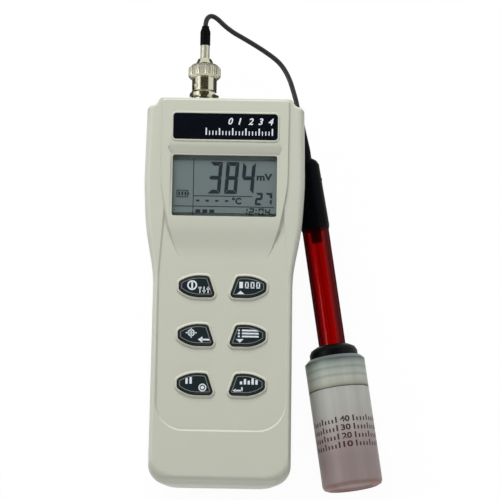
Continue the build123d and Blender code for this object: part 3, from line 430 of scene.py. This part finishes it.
finishes = {
    "case_grey": moulded("case_grey", colour(190, 192, 178), 0.42, change=0.02, rounding=0.3),
    "plate_black": moulded("plate_black", colour(7, 11, 20), 0.2, grain=300.0, depth=0.000002, shine=0.35),
    "lcd_glass": moulded("lcd_glass", colour(119, 130, 130), 0.3, grain=500.0, depth=0.000001, change=0.04),
    "frame_white": moulded("frame_white", colour(225, 225, 220)),
    "strip_rubber": moulded("strip_rubber", colour(196, 130, 140), 0.7),
    "board_green": moulded("board_green", colour(30, 110, 66), 0.3),
    "chip_black": moulded("chip_black", colour(36, 36, 38), 0.5),
    "sheet_rubber": moulded("sheet_rubber", colour(122, 125, 127), 0.7),
    "key_charcoal": moulded("key_charcoal", colour(22, 34, 37), 0.5, grain=1500.0, shine=0.3),
    "cell_wrap": moulded("cell_wrap", colour(62, 98, 137), 0.3),
    "insulator_white": moulded("insulator_white", colour(230, 230, 226), 0.4),
    "jack_black": moulded("jack_black", colour(34, 34, 35), 0.45),
    "gasket_red": moulded("gasket_red", colour(160, 60, 48), 0.6),
    "boot_black": moulded("boot_black", colour(5, 5, 7), 0.55, grain=700.0, shine=0.1),
    "cord_black": moulded("cord_black", colour(40, 40, 42), 0.42, grain=700.0),
    "cap_black": moulded("cap_black", colour(2, 4, 6), 0.45, grain=500.0, depth=0.000008, shine=0.06),
    "stem_black": moulded("stem_black", colour(10, 10, 10), 0.5),
    "seat_red": moulded("seat_red", colour(110, 18, 16), 0.3),
    "junction_white": moulded("junction_white", colour(228, 226, 220), 0.8),
    "seal_black": moulded("seal_black", colour(4, 5, 6), 0.45, shine=0.14),
}
print("plastics", len(finishes))

# %% [markdown]
# ## Metals
# Plated brass is a mirror with soft smudges where fingers have touched it. Its colour comes only
# from what it reflects, so it is nearly white here and the studio does the rest. The knurl and the
# crimp ferrule are duller, so the finish reads how far along the socket it is.

# %% Metals
smudge_scale, smudge_shade = 240.0, 0.86
turning_scale, turning_depth = 1800.0, 0.000004
satin_grey, satin_blur = 0.32, 0.28


def bright_metal(name, base, rough=0.16, change=0.08, satin=None):
    """Plated metal: a mirror with soft smudges and fine turning marks.

    satin gives (y in mm, share) pairs for bands that are duller, such as a knurl.
    """
    finish = Finish(name, Base_Color=base, Metallic=1.0, Roughness=rough)
    smudge = finish.spots(smudge_scale)
    darker = tuple(c * smudge_shade for c in base[:3]) + (1.0,)
    finish.set("Base Color", finish.mixed(smudge, darker, base))
    finish.set("Roughness", rough - change / 2 + smudge * change)
    finish.raised(finish.spots(turning_scale, detail=1.0), turning_depth)
    if satin:
        first, last = satin[0][0], satin[-1][0]
        where = finish.node("TexCoord", out=3)
        reach = finish.node("VectorMath", {0: where, 1: (0, 1, 0)}, out=1, operation="DOT_PRODUCT")
        share = (reach * (1 / MM) - first) * (1 / (last - first))
        stops = [((y - first) / (last - first), (dull, dull, dull, 1.0)) for y, dull in satin]
        dullness = finish.node("ValToRGB", {0: share}, stops=stops)
        finish.set("Metallic", 1 - dullness * satin_grey)
        finish.set("Roughness", rough + smudge * change + dullness * satin_blur)
    return finish.material


knurl_satin = [(98.9, 0.0), (99.6, 0.5), (105.2, 0.5), (105.7, 0.0)]
ferrule_satin = [(108.3, 0.0), (108.8, 0.9), (116.0, 0.9)]
metals = {
    "screw_steel": bright_metal("screw_steel", colour(182, 182, 184), 0.3),
    "contact_nickel": bright_metal("contact_nickel", colour(200, 198, 190), 0.3),
    "nickel": bright_metal("nickel", colour(216, 214, 194), 0.12, change=0.06,
                           satin=knurl_satin + ferrule_satin),
    "contact_gold": bright_metal("contact_gold", colour(222, 184, 110), 0.2),
    "wire_silver": bright_metal("wire_silver", colour(220, 218, 214), 0.2),
    "tip_metal": bright_metal("tip_metal", colour(218, 218, 218), 0.12),
}
finishes.update(metals)
print("metals", len(metals))

# %% [markdown]
# ## Clear and frosted plastics
# The display window is a clear sheet with a faint gloss. The electrode's barrel is red acrylic that
# light really passes through, so the stem, the glass tube and the wire inside can be seen. The
# bottle is frosted polyethylene: its solution tints the lower half, and the threads of its neck
# show through the cap as soft rings. Those are colours that change along the electrode, so they are
# read from the distance along it.

# %% Clear plastics
def clear_film(name, tint, gloss, least=0.03):
    """Clear sheet that lets light through and shines more at a glancing view."""
    finish = Finish(name)
    see = finish.node("BsdfTransparent", {"Color": tint})
    shine = finish.node("BsdfGlossy", {"Color": (1, 1, 1, 1), "Roughness": gloss})
    facing = finish.node("LayerWeight", {"Blend": 0.5}, out=1)
    edge = finish.node("Math", {0: facing, 1: 4.0}, operation="POWER")
    both = finish.node("MixShader", {0: least + edge * 0.8, 1: see, 2: shine})
    finish.tree.links.new(both.socket, finish.exit.inputs["Surface"])
    return finish.material


finishes["window_clear"] = clear_film("window_clear", (0.97, 0.98, 0.98, 1), 0.05)
finishes["inner_glass"] = clear_film("inner_glass", (0.93, 0.93, 0.93, 1), 0.03, 0.08)
print("clear finishes, window and inner glass")


# %% Red barrel
def red_acrylic(name):
    """Clear red plastic with painted shade towards its outline, where the wall is seen edge on."""
    finish = Finish(name, Base_Color=(0.42, 0.004, 0.003, 1), Roughness=0.05, IOR=1.2,
                    Specular_IOR_Level=0.1, Transmission_Weight=1.0)
    deep, pale = (0.5, 0.003, 0.004, 1), (0.7, 0.008, 0.004, 1)
    finish.set("Base Color", finish.mixed(finish.spots(90.0), deep, pale))
    finish.raised(finish.spots(260.0), 0.000006)
    # Painted shade: a dark red diffuse colour mixed in towards the outline, by how glancing the view is.
    glancing = finish.node("LayerWeight", {"Blend": 0.5}, out=1)
    edge_shade_share = finish.node("Math", {0: glancing, 1: 1.2}, operation="POWER")
    painted_edge_shade = finish.node("BsdfDiffuse", {"Color": colour(66, 8, 16)})
    clear = Link(finish, finish.shader.outputs[0])
    both = finish.node("MixShader", {0: 0.02 + edge_shade_share * 1.5, 1: clear, 2: painted_edge_shade})
    finish.tree.links.new(both.socket, finish.exit.inputs["Surface"])
    return finish.material


finishes["tube_red"] = red_acrylic("tube_red")
print("barrel", finishes["tube_red"].name)


# %% Frosted plastics
def along_electrode(finish):
    """Distance along the electrode from the lower end of its cap, in millimetres."""
    where = finish.node("TexCoord", out=3)
    start = Vector((electrode_x, electrode_y, electrode_z)).dot(Vector(slant_along))
    reach = finish.node("VectorMath", {0: where, 1: slant_along}, out=1, operation="DOT_PRODUCT")
    return reach * (1 / MM) - start


def frosted(name, bands, clear, cloudy):
    """Frosted plastic whose colour follows (distance along the electrode, colour) pairs."""
    finish = Finish(name, Roughness=0.42, IOR=1.45, Transmission_Weight=clear)
    first, last = bands[0][0], bands[-1][0]
    share = (along_electrode(finish) - first) * (1 / (last - first)) + (finish.spots(60.0) - 0.5) * cloudy
    stops = [((place - first) / (last - first), tone) for place, tone in bands]
    tone = finish.node("ValToRGB", {0: share}, stops=stops)
    across = finish.node("VectorMath", {0: finish.node("TexCoord", out=3), 1: slant_across}, out=1,
                         operation="DOT_PRODUCT")
    streaks = finish.node("TexNoise", {"W": across, "Scale": 260.0, "Detail": 1.0}, noise_dimensions="1D")
    finish.set("Base Color", finish.mixed(streaks * 0.3, tone, colour(118, 108, 104)))
    finish.set("Roughness", 0.36 + finish.spots(300.0) * 0.16)
    finish.raised(finish.spots(700.0), 0.00002)
    return finish.material


finishes["bottle_frost"] = frosted("bottle_frost", [
    (60.0, colour(186, 189, 183)),
    (78.0, colour(192, 194, 188)),
    (88.0, colour(186, 184, 178)),
    (98.0, colour(164, 151, 148)),
    (106.0, colour(153, 137, 136)),
    (114.5, colour(155, 138, 136)),
    (116.8, colour(158, 134, 130)),
    (118.5, colour(150, 98, 84)),
], 0.2, 0.12)
finishes["cap_frost"] = frosted("cap_frost", [
    (59.6, colour(96, 112, 108)),
    (61.4, colour(78, 94, 94)),
    (62.8, colour(140, 154, 146)),
    (64.4, colour(170, 182, 172)),
    (65.4, colour(148, 160, 151)),
    (66.6, colour(178, 188, 176)),
    (68.0, colour(186, 193, 181)),
    (69.0, colour(164, 171, 160)),
    (70.2, colour(192, 196, 184)),
    (72.0, colour(186, 190, 178)),
    (73.2, colour(170, 170, 156)),
    (74.1, colour(116, 110, 92)),
], 0.2, 0.09)

slot_of = {row["node"]: row["material_slot"] for row in record["subparts"]}
for name, solid in nodes.items():
    solid.data.materials.clear()
    solid.data.materials.append(finishes[slot_of[name]])
cord_mesh.materials.append(finishes["cord_black"])
print("finishes", len(finishes))

# %% [markdown]
# ## Pieces of the scene
# A piece that Blender adds has a body that it rides on, so that it moves with the joint. One
# function makes the piece and hangs it on its body.

# %% Pieces of the scene
def put(name, mesh, body, slot_name, *materials):
    """Make a piece of a mesh that rides on a body and wears the given finishes; slot_name is not used."""
    piece = bpy.data.objects.new(name, mesh)
    scene.collection.objects.link(piece)
    for material in materials:
        mesh.materials.append(material)
    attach(piece, body)
    return piece


# %% [markdown]
# ## Knurl
# The grip of the coupling nut has a fine straight knurl. It is a ring whose radius goes up and down
# with the angle, drawn as rows of points along the socket and joined into bands. Its inner wall is
# hidden inside the solid nut.

# %% Knurl
knurl_teeth, tooth_height = 40, 0.2
tooth_profile = (0.0, 0.0, 1.0, 1.0)
# Place along the socket, radius, and how much of the teeth's height a row has.
knurl_rows = [
    (99.7, 6.6, 0.0),
    (99.57, 6.3, 0.0),
    (99.52, 6.45, 0.0),
    (100.35, 7.12, 0.6),
    (100.7, 7.12, 1.0),
    (103.9, 7.12, 1.0),
    (104.2, 7.1, 0.6),
    (105.66, 5.75, 0.0),
    (105.55, 5.7, 0.0),
    (104.0, 6.6, 0.0),
]


def knurl_mesh():
    """Closed ring with straight teeth round the coupling nut."""
    made = bmesh.new()
    count = knurl_teeth * len(tooth_profile)
    loops = []
    for along, radius, share in knurl_rows:
        loop = []
        for i in range(count):
            turn = 2 * math.pi * i / count
            reach = radius + tooth_height * share * tooth_profile[i % len(tooth_profile)]
            spot = Vector((reach * math.cos(turn), reach * math.sin(turn), along)) * MM
            loop.append(made.verts.new(on_socket @ spot))
        loops.append(loop)
    for low, high in zip(loops, loops[1:] + loops[:1]):
        for i in range(count):
            made.faces.new([low[i], low[(i + 1) % count], high[(i + 1) % count], high[i]])
    bmesh.ops.recalc_face_normals(made, faces=made.faces)
    mesh = bpy.data.meshes.new("knurl_ring")
    made.to_mesh(mesh)
    made.free()
    mesh.shade_smooth()
    mesh.set_sharp_from_angle(angle=math.radians(25.0))
    return mesh


knurl = put("knurl_ring", knurl_mesh(), "coupling", "nickel", finishes["nickel"])
print("knurl", len(knurl.data.polygons), "faces")

# %% [markdown]
# ## Flat drawings
# The display, the plate, the keys and the bottle carry printed marks. Print is a real, very thin
# layer, so each mark is drawn as a flat outline in millimetres and given that thickness. One class
# collects the outlines, and a function then lays them on a plane or round a cylinder. All the marks
# are plain numbers, ticks and pictograms.

# %% Flat drawings
ink_thickness = 0.03


class Drawing:
    """Flat outlines in millimetres that become one thin printed mesh."""

    def __init__(self):
        self.points = []
        self.faces = []

    def polygon(self, corners):
        start = len(self.points)
        self.points += [tuple(corner) for corner in corners]
        self.faces.append(tuple(range(start, start + len(corners))))

    def bar(self, x0, y0, x1, y1, width):
        """Straight stroke between two points."""
        run = Vector((x1 - x0, y1 - y0)).normalized() * (width / 2)
        side = Vector((-run.y, run.x))
        ends = (Vector((x0, y0)), Vector((x1, y1)))
        self.polygon([ends[0] - side, ends[1] - side, ends[1] + side, ends[0] + side])

    def arc(self, x, y, outer, inner, begin, sweep, steps=12):
        """Part of a ring, with angles in degrees."""
        angles = [math.radians(begin + sweep * i / steps) for i in range(steps + 1)]
        rim = [(x + outer * math.cos(a), y + outer * math.sin(a)) for a in angles]
        bore = [(x + inner * math.cos(a), y + inner * math.sin(a)) for a in reversed(angles)]
        self.polygon(rim + bore)

    def ring(self, x, y, outer, inner):
        self.arc(x, y, outer, inner, 0, 180)
        self.arc(x, y, outer, inner, 180, 180)

    def disc(self, x, y, radius, steps=20):
        turns = [2 * math.pi * i / steps for i in range(steps)]
        self.polygon([(x + radius * math.cos(a), y + radius * math.sin(a)) for a in turns])

    def text(self, words, x, y, height, slant=0.0, width=None, weight=0.02):
        """Plain characters, with their lower left corner at x and y."""
        letters = bpy.data.curves.new("letters", "FONT")
        letters.body = words
        letters.shear = slant
        letters.resolution_u = 3
        letters.offset = weight
        holder = bpy.data.objects.new("letters", letters)
        flat = bpy.data.meshes.new_from_object(holder)
        xs = [v.co.x for v in flat.vertices]
        ys = [v.co.y for v in flat.vertices]
        left, foot = min(xs), min(ys)
        grow = height / (max(ys) - foot)
        across = width / (max(xs) - left) if width else grow
        start = len(self.points)
        self.points += [(x + (px - left) * across, y + (py - foot) * grow) for px, py in zip(xs, ys)]
        self.faces += [tuple(start + i for i in face.vertices) for face in flat.polygons]
        bpy.data.objects.remove(holder)
        bpy.data.curves.remove(letters)
        bpy.data.meshes.remove(flat)

    def mesh(self, name, place):
        """Mesh of the drawing. place turns x, y and a height above the surface into a point in mm.

        An edge that two faces share has no side wall, so only edges seen once are kept.
        """
        made = bmesh.new()
        low = [made.verts.new(Vector(place(x, y, 0.0)) * MM) for x, y in self.points]
        high = [made.verts.new(Vector(place(x, y, ink_thickness)) * MM) for x, y in self.points]
        sides = {}
        for face in self.faces:
            made.faces.new([high[i] for i in face])
            made.faces.new([low[i] for i in reversed(face)])
            for first, second in zip(face, face[1:] + face[:1]):
                edge = (second, first)
                if edge in sides:
                    del sides[edge]
                else:
                    sides[(first, second)] = True
        for first, second in sides:
            made.faces.new([low[first], low[second], high[second], high[first]])
        bmesh.ops.recalc_face_normals(made, faces=made.faces)
        flat = bpy.data.meshes.new(name)
        made.to_mesh(flat)
        made.free()
        return flat


print("ink", ink_thickness, "mm thick")

# %% [markdown]
# ## Display
# A liquid crystal display shows dark segments on a grey ground. Each digit is made of seven strokes
# with pointed ends. Drawn from one function, the large reading, the small counter and the clock all
# come out alike, only at other sizes.

# %% Display
strokes_of = {"0": "abcdef", "1": "bc", "2": "abged", "3": "abgcd", "4": "fgbc", "7": "abc", "8": "abcdefg"}
digit_lean = math.tan(math.radians(4.0))


def seven_strokes(drawing, digit, x, y, width, height, thick):
    """One digit of seven strokes with its lower left corner at x and y."""
    gap = 0.07 * thick
    mid = height / 2
    half = thick / 2
    shapes = {
        "a": [(gap, height), (width - gap, height), (width - thick, height - thick),
              (thick, height - thick)],
        "d": [(thick, thick), (width - thick, thick), (width - gap, 0), (gap, 0)],
        "g": [(0.2 * half, mid), (half * 1.1, mid + half), (width - half * 1.1, mid + half),
              (width - 0.2 * half, mid), (width - half * 1.1, mid - half), (half * 1.1, mid - half)],
        "f": [(0, mid + gap * 2), (0, height - gap), (thick - gap, height - thick - gap),
              (thick - gap, mid + half + gap * 2)],
        "e": [(0, gap), (0, mid - gap * 2), (thick - gap, mid - half - gap * 2), (thick - gap, thick + gap)],
        "b": [(width, mid + gap * 2), (width, height - gap), (width - thick + gap, height - thick - gap),
              (width - thick + gap, mid + half + gap * 2)],
        "c": [(width, gap), (width, mid - gap * 2), (width - thick + gap, mid - half - gap * 2),
              (width - thick + gap, thick + gap)],
    }
    for stroke in strokes_of[digit]:
        drawing.polygon([(x + px + py * digit_lean, y + py) for px, py in shapes[stroke]])


reading = Drawing()
# Foot, width, height and stroke of the digits.
large, counter, clock = (43.3, 5.7, 14.6, 1.75), (38.3, 3.2, 5.7, 1.05), (33.5, 2.3, 3.4, 0.66)
for digits, starts, size in (("384", (-7.6, -0.2, 7.2), large), ("27", (13.6, 17.9), counter),
                             ("1204", (8.0, 10.9, 15.2, 18.1), clock)):
    for digit, x in zip(digits, starts):
        seven_strokes(reading, digit, x, *size)
print("strokes of the digits", len(reading.faces))

# %% Signs on the display
dash_y, colon_x = 40.0, 14.3
for x in (-12.6, -8.4, -4.1, 0.3):
    reading.bar(x, dash_y, x + 1.5, dash_y, 0.85)
reading.text("mV", 14.3, 49.6, 3.2, width=7.0, weight=0.04)
reading.text("°C", 3.4, 38.5, 3.2, weight=0.04)
for y in (34.5, 36.0):
    reading.disc(colon_x, y, 0.35)

low_x, high_x, split_x, line = -22.4, 22.2, -13.9, 0.35
reading.bar(split_x, 33.0, split_x, 59.2, line)
reading.bar(split_x, 42.2, 12.6, 42.2, line)
reading.bar(low_x, 37.4, high_x, 37.4, line)
for step in range(3):
    reading.bar(-12.8 + 3.1 * step, 35.2, -10.6 + 3.1 * step, 35.2, 1.6)

# %% Battery sign
left, right_end, foot, head = -21.2, -16.4, 41.6, 44.6
for x0, y0, x1, y1 in ((left, foot, right_end, foot), (left, head, right_end, head),
                       (left, foot, left, head), (right_end, foot, right_end, head)):
    reading.bar(x0, y0, x1, y1, 0.4)
for step in range(3):
    reading.bar(-20.2 + 1.4 * step, 42.2, -20.2 + 1.4 * step, 44.0, 0.8)
reading.bar(-16.0, 42.6, -16.0, 43.6, 0.5)

lcd_top = 29.22
ink_dark = moulded("lcd_ink", colour(34, 44, 54), 0.5, depth=0.000001)
signs = reading.mesh("display_reading", lambda x, y, h: (x, y, lcd_top + h))
put("display_reading", signs, "meter", "lcd_glass", ink_dark)
print("strokes on the display", len(reading.faces))

# %% [markdown]
# ## Name plate
# The glossy dark plate carries a plain scale: numbers over a row of ticks, printed in white.

# %% Name plate
plate_top = 32.0
print_white = moulded("print_white", colour(214, 220, 226), 0.5, depth=0.000002)
scale = Drawing()
scale_start, tick_gap, ticks, tick_foot = -8.6, 1.48, 21, 69.6
for tick in range(ticks):
    x = scale_start + tick * tick_gap
    tall, thick = (3.2, 0.6) if tick % 4 == 0 else (1.9, 0.45)
    scale.bar(x, tick_foot, x, tick_foot + tall, thick)
first_number, number_gap, number_foot = 1.2, 4.5, 74.5
for number in range(5):
    scale.text(str(number), first_number + number_gap * number, number_foot, 3.1, slant=0.25)
plate_marks = scale.mesh("plate_scale", lambda x, y, h: (x, y, plate_top + h))
put("plate_scale", plate_marks, "meter", "plate_black", print_white)
print("plate marks", len(scale.faces), "faces")

# %% [markdown]
# ## Keys
# Each rubber key is half a leaf in outline: a flat charcoal face inside a thin lighter ring, which is
# a painted highlight on its lip, and a black rounded edge that drops into the case, which is painted
# shade for the gap round the key. The outline is six corners with true arcs between straight
# stretches. The same outline, pulled in step by step and lowered, makes the whole key.

# %% Outline of a key
key_corners = [(-7.8, 2.0), (-2.4, 5.0), (4.9, 4.5), (7.9, -4.35), (-3.4, -4.5), (-7.8, -1.4)]
key_radii = [1.2, 16.0, 1.3, 1.3, 13.0, 1.2]


def rounded(corners, radii, steps=8):
    """Closed outline with an arc at each corner: a list of (point, outward direction)."""
    outline = []
    count = len(corners)
    for i, radius in enumerate(radii):
        here = Vector(corners[i])
        back = (Vector(corners[i - 1]) - here).normalized()
        ahead = (Vector(corners[(i + 1) % count]) - here).normalized()
        half = back.angle(ahead) / 2
        centre = here + (back + ahead).normalized() * (radius / math.sin(half))
        reach = radius / math.tan(half)
        first = (here + back * reach - centre).normalized()
        last = (here + ahead * reach - centre).normalized()
        for step in range(steps + 1):
            way = first.slerp(last, step / steps)
            outline.append((centre + way * radius, way))
    return outline


key_outline = rounded(key_corners, key_radii)
print("key outline", len(key_outline), "points")

# %% Shape of a key
key_face_z = 31.46
key_middle = Vector((-0.4, 0.1))
# The edge band is painted shade and the ring band a painted highlight.
shade_edge_band, highlight_ring_band, face_band = 0, 1, 2
# How far inside the outline, at what height, and the finish of the band that starts there.
key_rings = [
    (-0.9, 26.9, shade_edge_band),
    (-0.9, 27.9, shade_edge_band),
    (0.0, 27.9, shade_edge_band),
    (0.0, 30.9, shade_edge_band),
    (0.08, 31.15, shade_edge_band),
    (0.28, 31.36, shade_edge_band),
    (0.55, 31.5, shade_edge_band),
    (0.8, 31.56, highlight_ring_band),
    (1.0, 31.6, highlight_ring_band),
    (1.12, 31.58, face_band),
    (1.18, key_face_z, face_band),
]


def key_mesh(name, x, y, side):
    """Key of stacked rings round a middle at x and y. side is 1 in the right column, which is mirrored."""
    levels = [([point - way * inset for point, way in key_outline], z) for inset, z, band in key_rings]
    inner = levels[-1][0]
    for share in (0.66, 0.33):
        levels.append(([key_middle + (point - key_middle) * share for point in inner], key_face_z))
    made = bmesh.new()

    def vertex(point, z):
        return made.verts.new(Vector((x - side * point.x, y + point.y, z)) * MM)

    loops = [[vertex(point, z) for point in level] for level, z in levels]
    bands = [band for inset, z, band in key_rings] + [face_band]
    count = len(key_outline)
    for low, high, band in zip(loops, loops[1:], bands):
        for i in range(count):
            face = made.faces.new([low[i], low[(i + 1) % count], high[(i + 1) % count], high[i]])
            face.material_index = band
    top = vertex(key_middle, key_face_z)
    for i in range(count):
        made.faces.new([loops[-1][i], loops[-1][(i + 1) % count], top]).material_index = face_band
    made.faces.new(list(reversed(loops[0]))).material_index = shade_edge_band
    bmesh.ops.remove_doubles(made, verts=made.verts, dist=0.000002)
    bmesh.ops.recalc_face_normals(made, faces=made.faces)
    mesh = bpy.data.meshes.new(name)
    made.to_mesh(mesh)
    made.free()
    mesh.shade_smooth()
    mesh.set_sharp_from_angle(angle=math.radians(50.0))
    return mesh


# %% Keys
key_column = 11.3
key_rows = (0.5, -21.45, -43.4)
key_names = ("key_power", "key_mode", "key_calibrate", "key_memory", "key_hold", "key_average")
# Painted shade and highlight: the near-black edge stands for the shade in the gap round each key, and the
# lighter ring for the light that its lip catches.
key_edge_shade = moulded("key_edge_shade", colour(10, 12, 14), 0.42, grain=1500.0, shine=0.35)
key_lip_highlight = moulded("key_lip_highlight", colour(112, 120, 118), 0.5, grain=1500.0)
key_finishes = (key_edge_shade, key_lip_highlight, finishes["key_charcoal"])
key_at = [(side * key_column, y, side) for y in key_rows for side in (-1, 1)]
for name, (x, y, side) in zip(key_names, key_at):
    cap = put(name + "_cap", key_mesh(name + "_cap", x, y, side), name, "key_charcoal", *key_finishes)
    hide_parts(name)
print("keys", len(key_at))

# %% [markdown]
# ## Marks on the keys
# Each key has two pictograms in off-white. They are drawn about the middle of the key, with x to the
# right on the face, so the same strokes serve both columns.

# %% Marks on the keys
def power_mark(mark):
    """Ring with a bar, and three slide controls."""
    mark.ring(-2.2, 0.5, 2.2, 1.55)
    mark.bar(-2.2, -0.9, -2.2, 1.9, 0.75)
    for step, knob in enumerate((-0.6, -2.0, -1.2)):
        x = 1.3 + 1.8 * step
        mark.bar(x, -0.1, x, -3.0, 0.45)
        mark.bar(x - 0.65, knob, x + 0.65, knob, 0.7)


def mode_mark(mark):
    """Row of four cells, the first one filled, over an arrow up."""
    mark.polygon([(-5.0, -3.2), (-1.6, -3.2), (-3.3, -1.7)])
    mark.bar(-3.9, 0.9, -2.3, 0.9, 2.9)
    for step in range(1, 4):
        x = -3.9 + 2.5 * step
        mark.bar(x, 2.1, x + 1.7, 2.1, 0.5)
        mark.bar(x, -0.3, x + 1.7, -0.3, 0.5)
        mark.bar(x + 0.25, -0.3, x + 0.25, 2.1, 0.5)
        mark.bar(x + 1.45, -0.3, x + 1.45, 2.1, 0.5)


def calibrate_mark(mark):
    """Cross lines in a ring, and an arrow back."""
    mark.ring(-2.2, 1.0, 1.6, 1.05)
    mark.bar(-4.6, 1.0, 0.2, 1.0, 0.5)
    mark.bar(-2.2, -1.2, -2.2, 3.2, 0.5)
    mark.bar(2.4, -2.0, 6.0, -2.0, 0.8)
    mark.polygon([(2.8, -0.6), (0.8, -2.0), (2.8, -3.4)])


def memory_mark(mark):
    """List of three lines over an arrow down."""
    mark.polygon([(-5.0, -1.5), (-1.6, -1.5), (-3.3, -3.1)])
    for step in range(3):
        y = 2.4 - 1.35 * step
        mark.bar(-2.4, y, 5.0, y, 0.75)
        mark.bar(-4.2, y, -3.3, y, 0.75)


def hold_mark(mark):
    """Two bars, and a record button."""
    mark.bar(-3.8, 0.1, -3.8, 3.1, 1.0)
    mark.bar(-2.0, 0.1, -2.0, 3.1, 1.0)
    mark.ring(3.2, -1.5, 1.75, 1.25)
    mark.disc(3.2, -1.5, 0.8)


def average_mark(mark):
    """Row of bars, and a return arrow."""
    for step, tall in enumerate((1.3, 2.4, 1.7, 2.9, 2.1)):
        x = -2.4 + 1.7 * step
        mark.bar(x, 0.2, x, 0.2 + tall, 1.0)
    mark.bar(-5.0, -2.6, -1.9, -2.6, 0.65)
    mark.bar(-2.0, -2.9, -2.0, -1.1, 0.65)
    mark.polygon([(-4.6, -1.8), (-6.1, -2.6), (-4.6, -3.4)])


mark_of = {"key_power": power_mark, "key_mode": mode_mark, "key_calibrate": calibrate_mark,
           "key_memory": memory_mark, "key_hold": hold_mark, "key_average": average_mark}
for name, (key_x, key_y, side) in zip(key_names, key_at):
    mark = Drawing()
    mark_of[name](mark)
    flat = mark.mesh(name + "_mark", lambda x, y, h: (key_x + x, key_y + y, key_face_z + h))
    put(name + "_mark", flat, name, "key_charcoal", print_white)
print("key marks", len(mark_of))

# %% [markdown]
# ## Marks on the bottle
# The soaking bottle is printed with a plain volume scale in dark brown: a number in the middle of
# each line and ticks that run round the bottle beside it. The flat drawing is wrapped round the
# cylinder by turning x into an angle.

# %% Marks on the bottle
bottle_radius = 13.4
first_line, line_gap = 88.9, 3.75
number_width, number_tall = 4.4, 2.7
volume = Drawing()
for row, number in enumerate(("40", "30", "20", "10")):
    foot = -line_gap * row - number_tall / 2
    volume.text(number, -number_width / 2, foot, number_tall, width=number_width, weight=0.03)
    for side in (-1, 1):
        for tick in range(9):
            x = side * (3.9 + 1.75 * tick)
            tall = number_tall if tick % 4 == 0 else 1.7
            volume.bar(x, foot, x, foot + tall, 0.75)


def round_the_bottle(x, y, height):
    """Point on the bottle for a point of the drawing, in millimetres."""
    angle = x / bottle_radius
    reach = bottle_radius + height
    spot = Vector((reach * math.sin(angle), reach * math.cos(angle), first_line - y))
    return on_electrode @ (spot * MM) / MM


ink_brown = moulded("bottle_ink", colour(62, 34, 34), 0.6, depth=0.000002)
bottle_marks = volume.mesh("bottle_scale", round_the_bottle)
put("bottle_scale", bottle_marks, "soaking_bottle", "bottle_frost", ink_brown)
print("bottle marks", len(volume.faces), "faces")

# %% [markdown]
# ## The end
# The view layer is brought up to date.

# %% The end
bpy.context.view_layer.update()
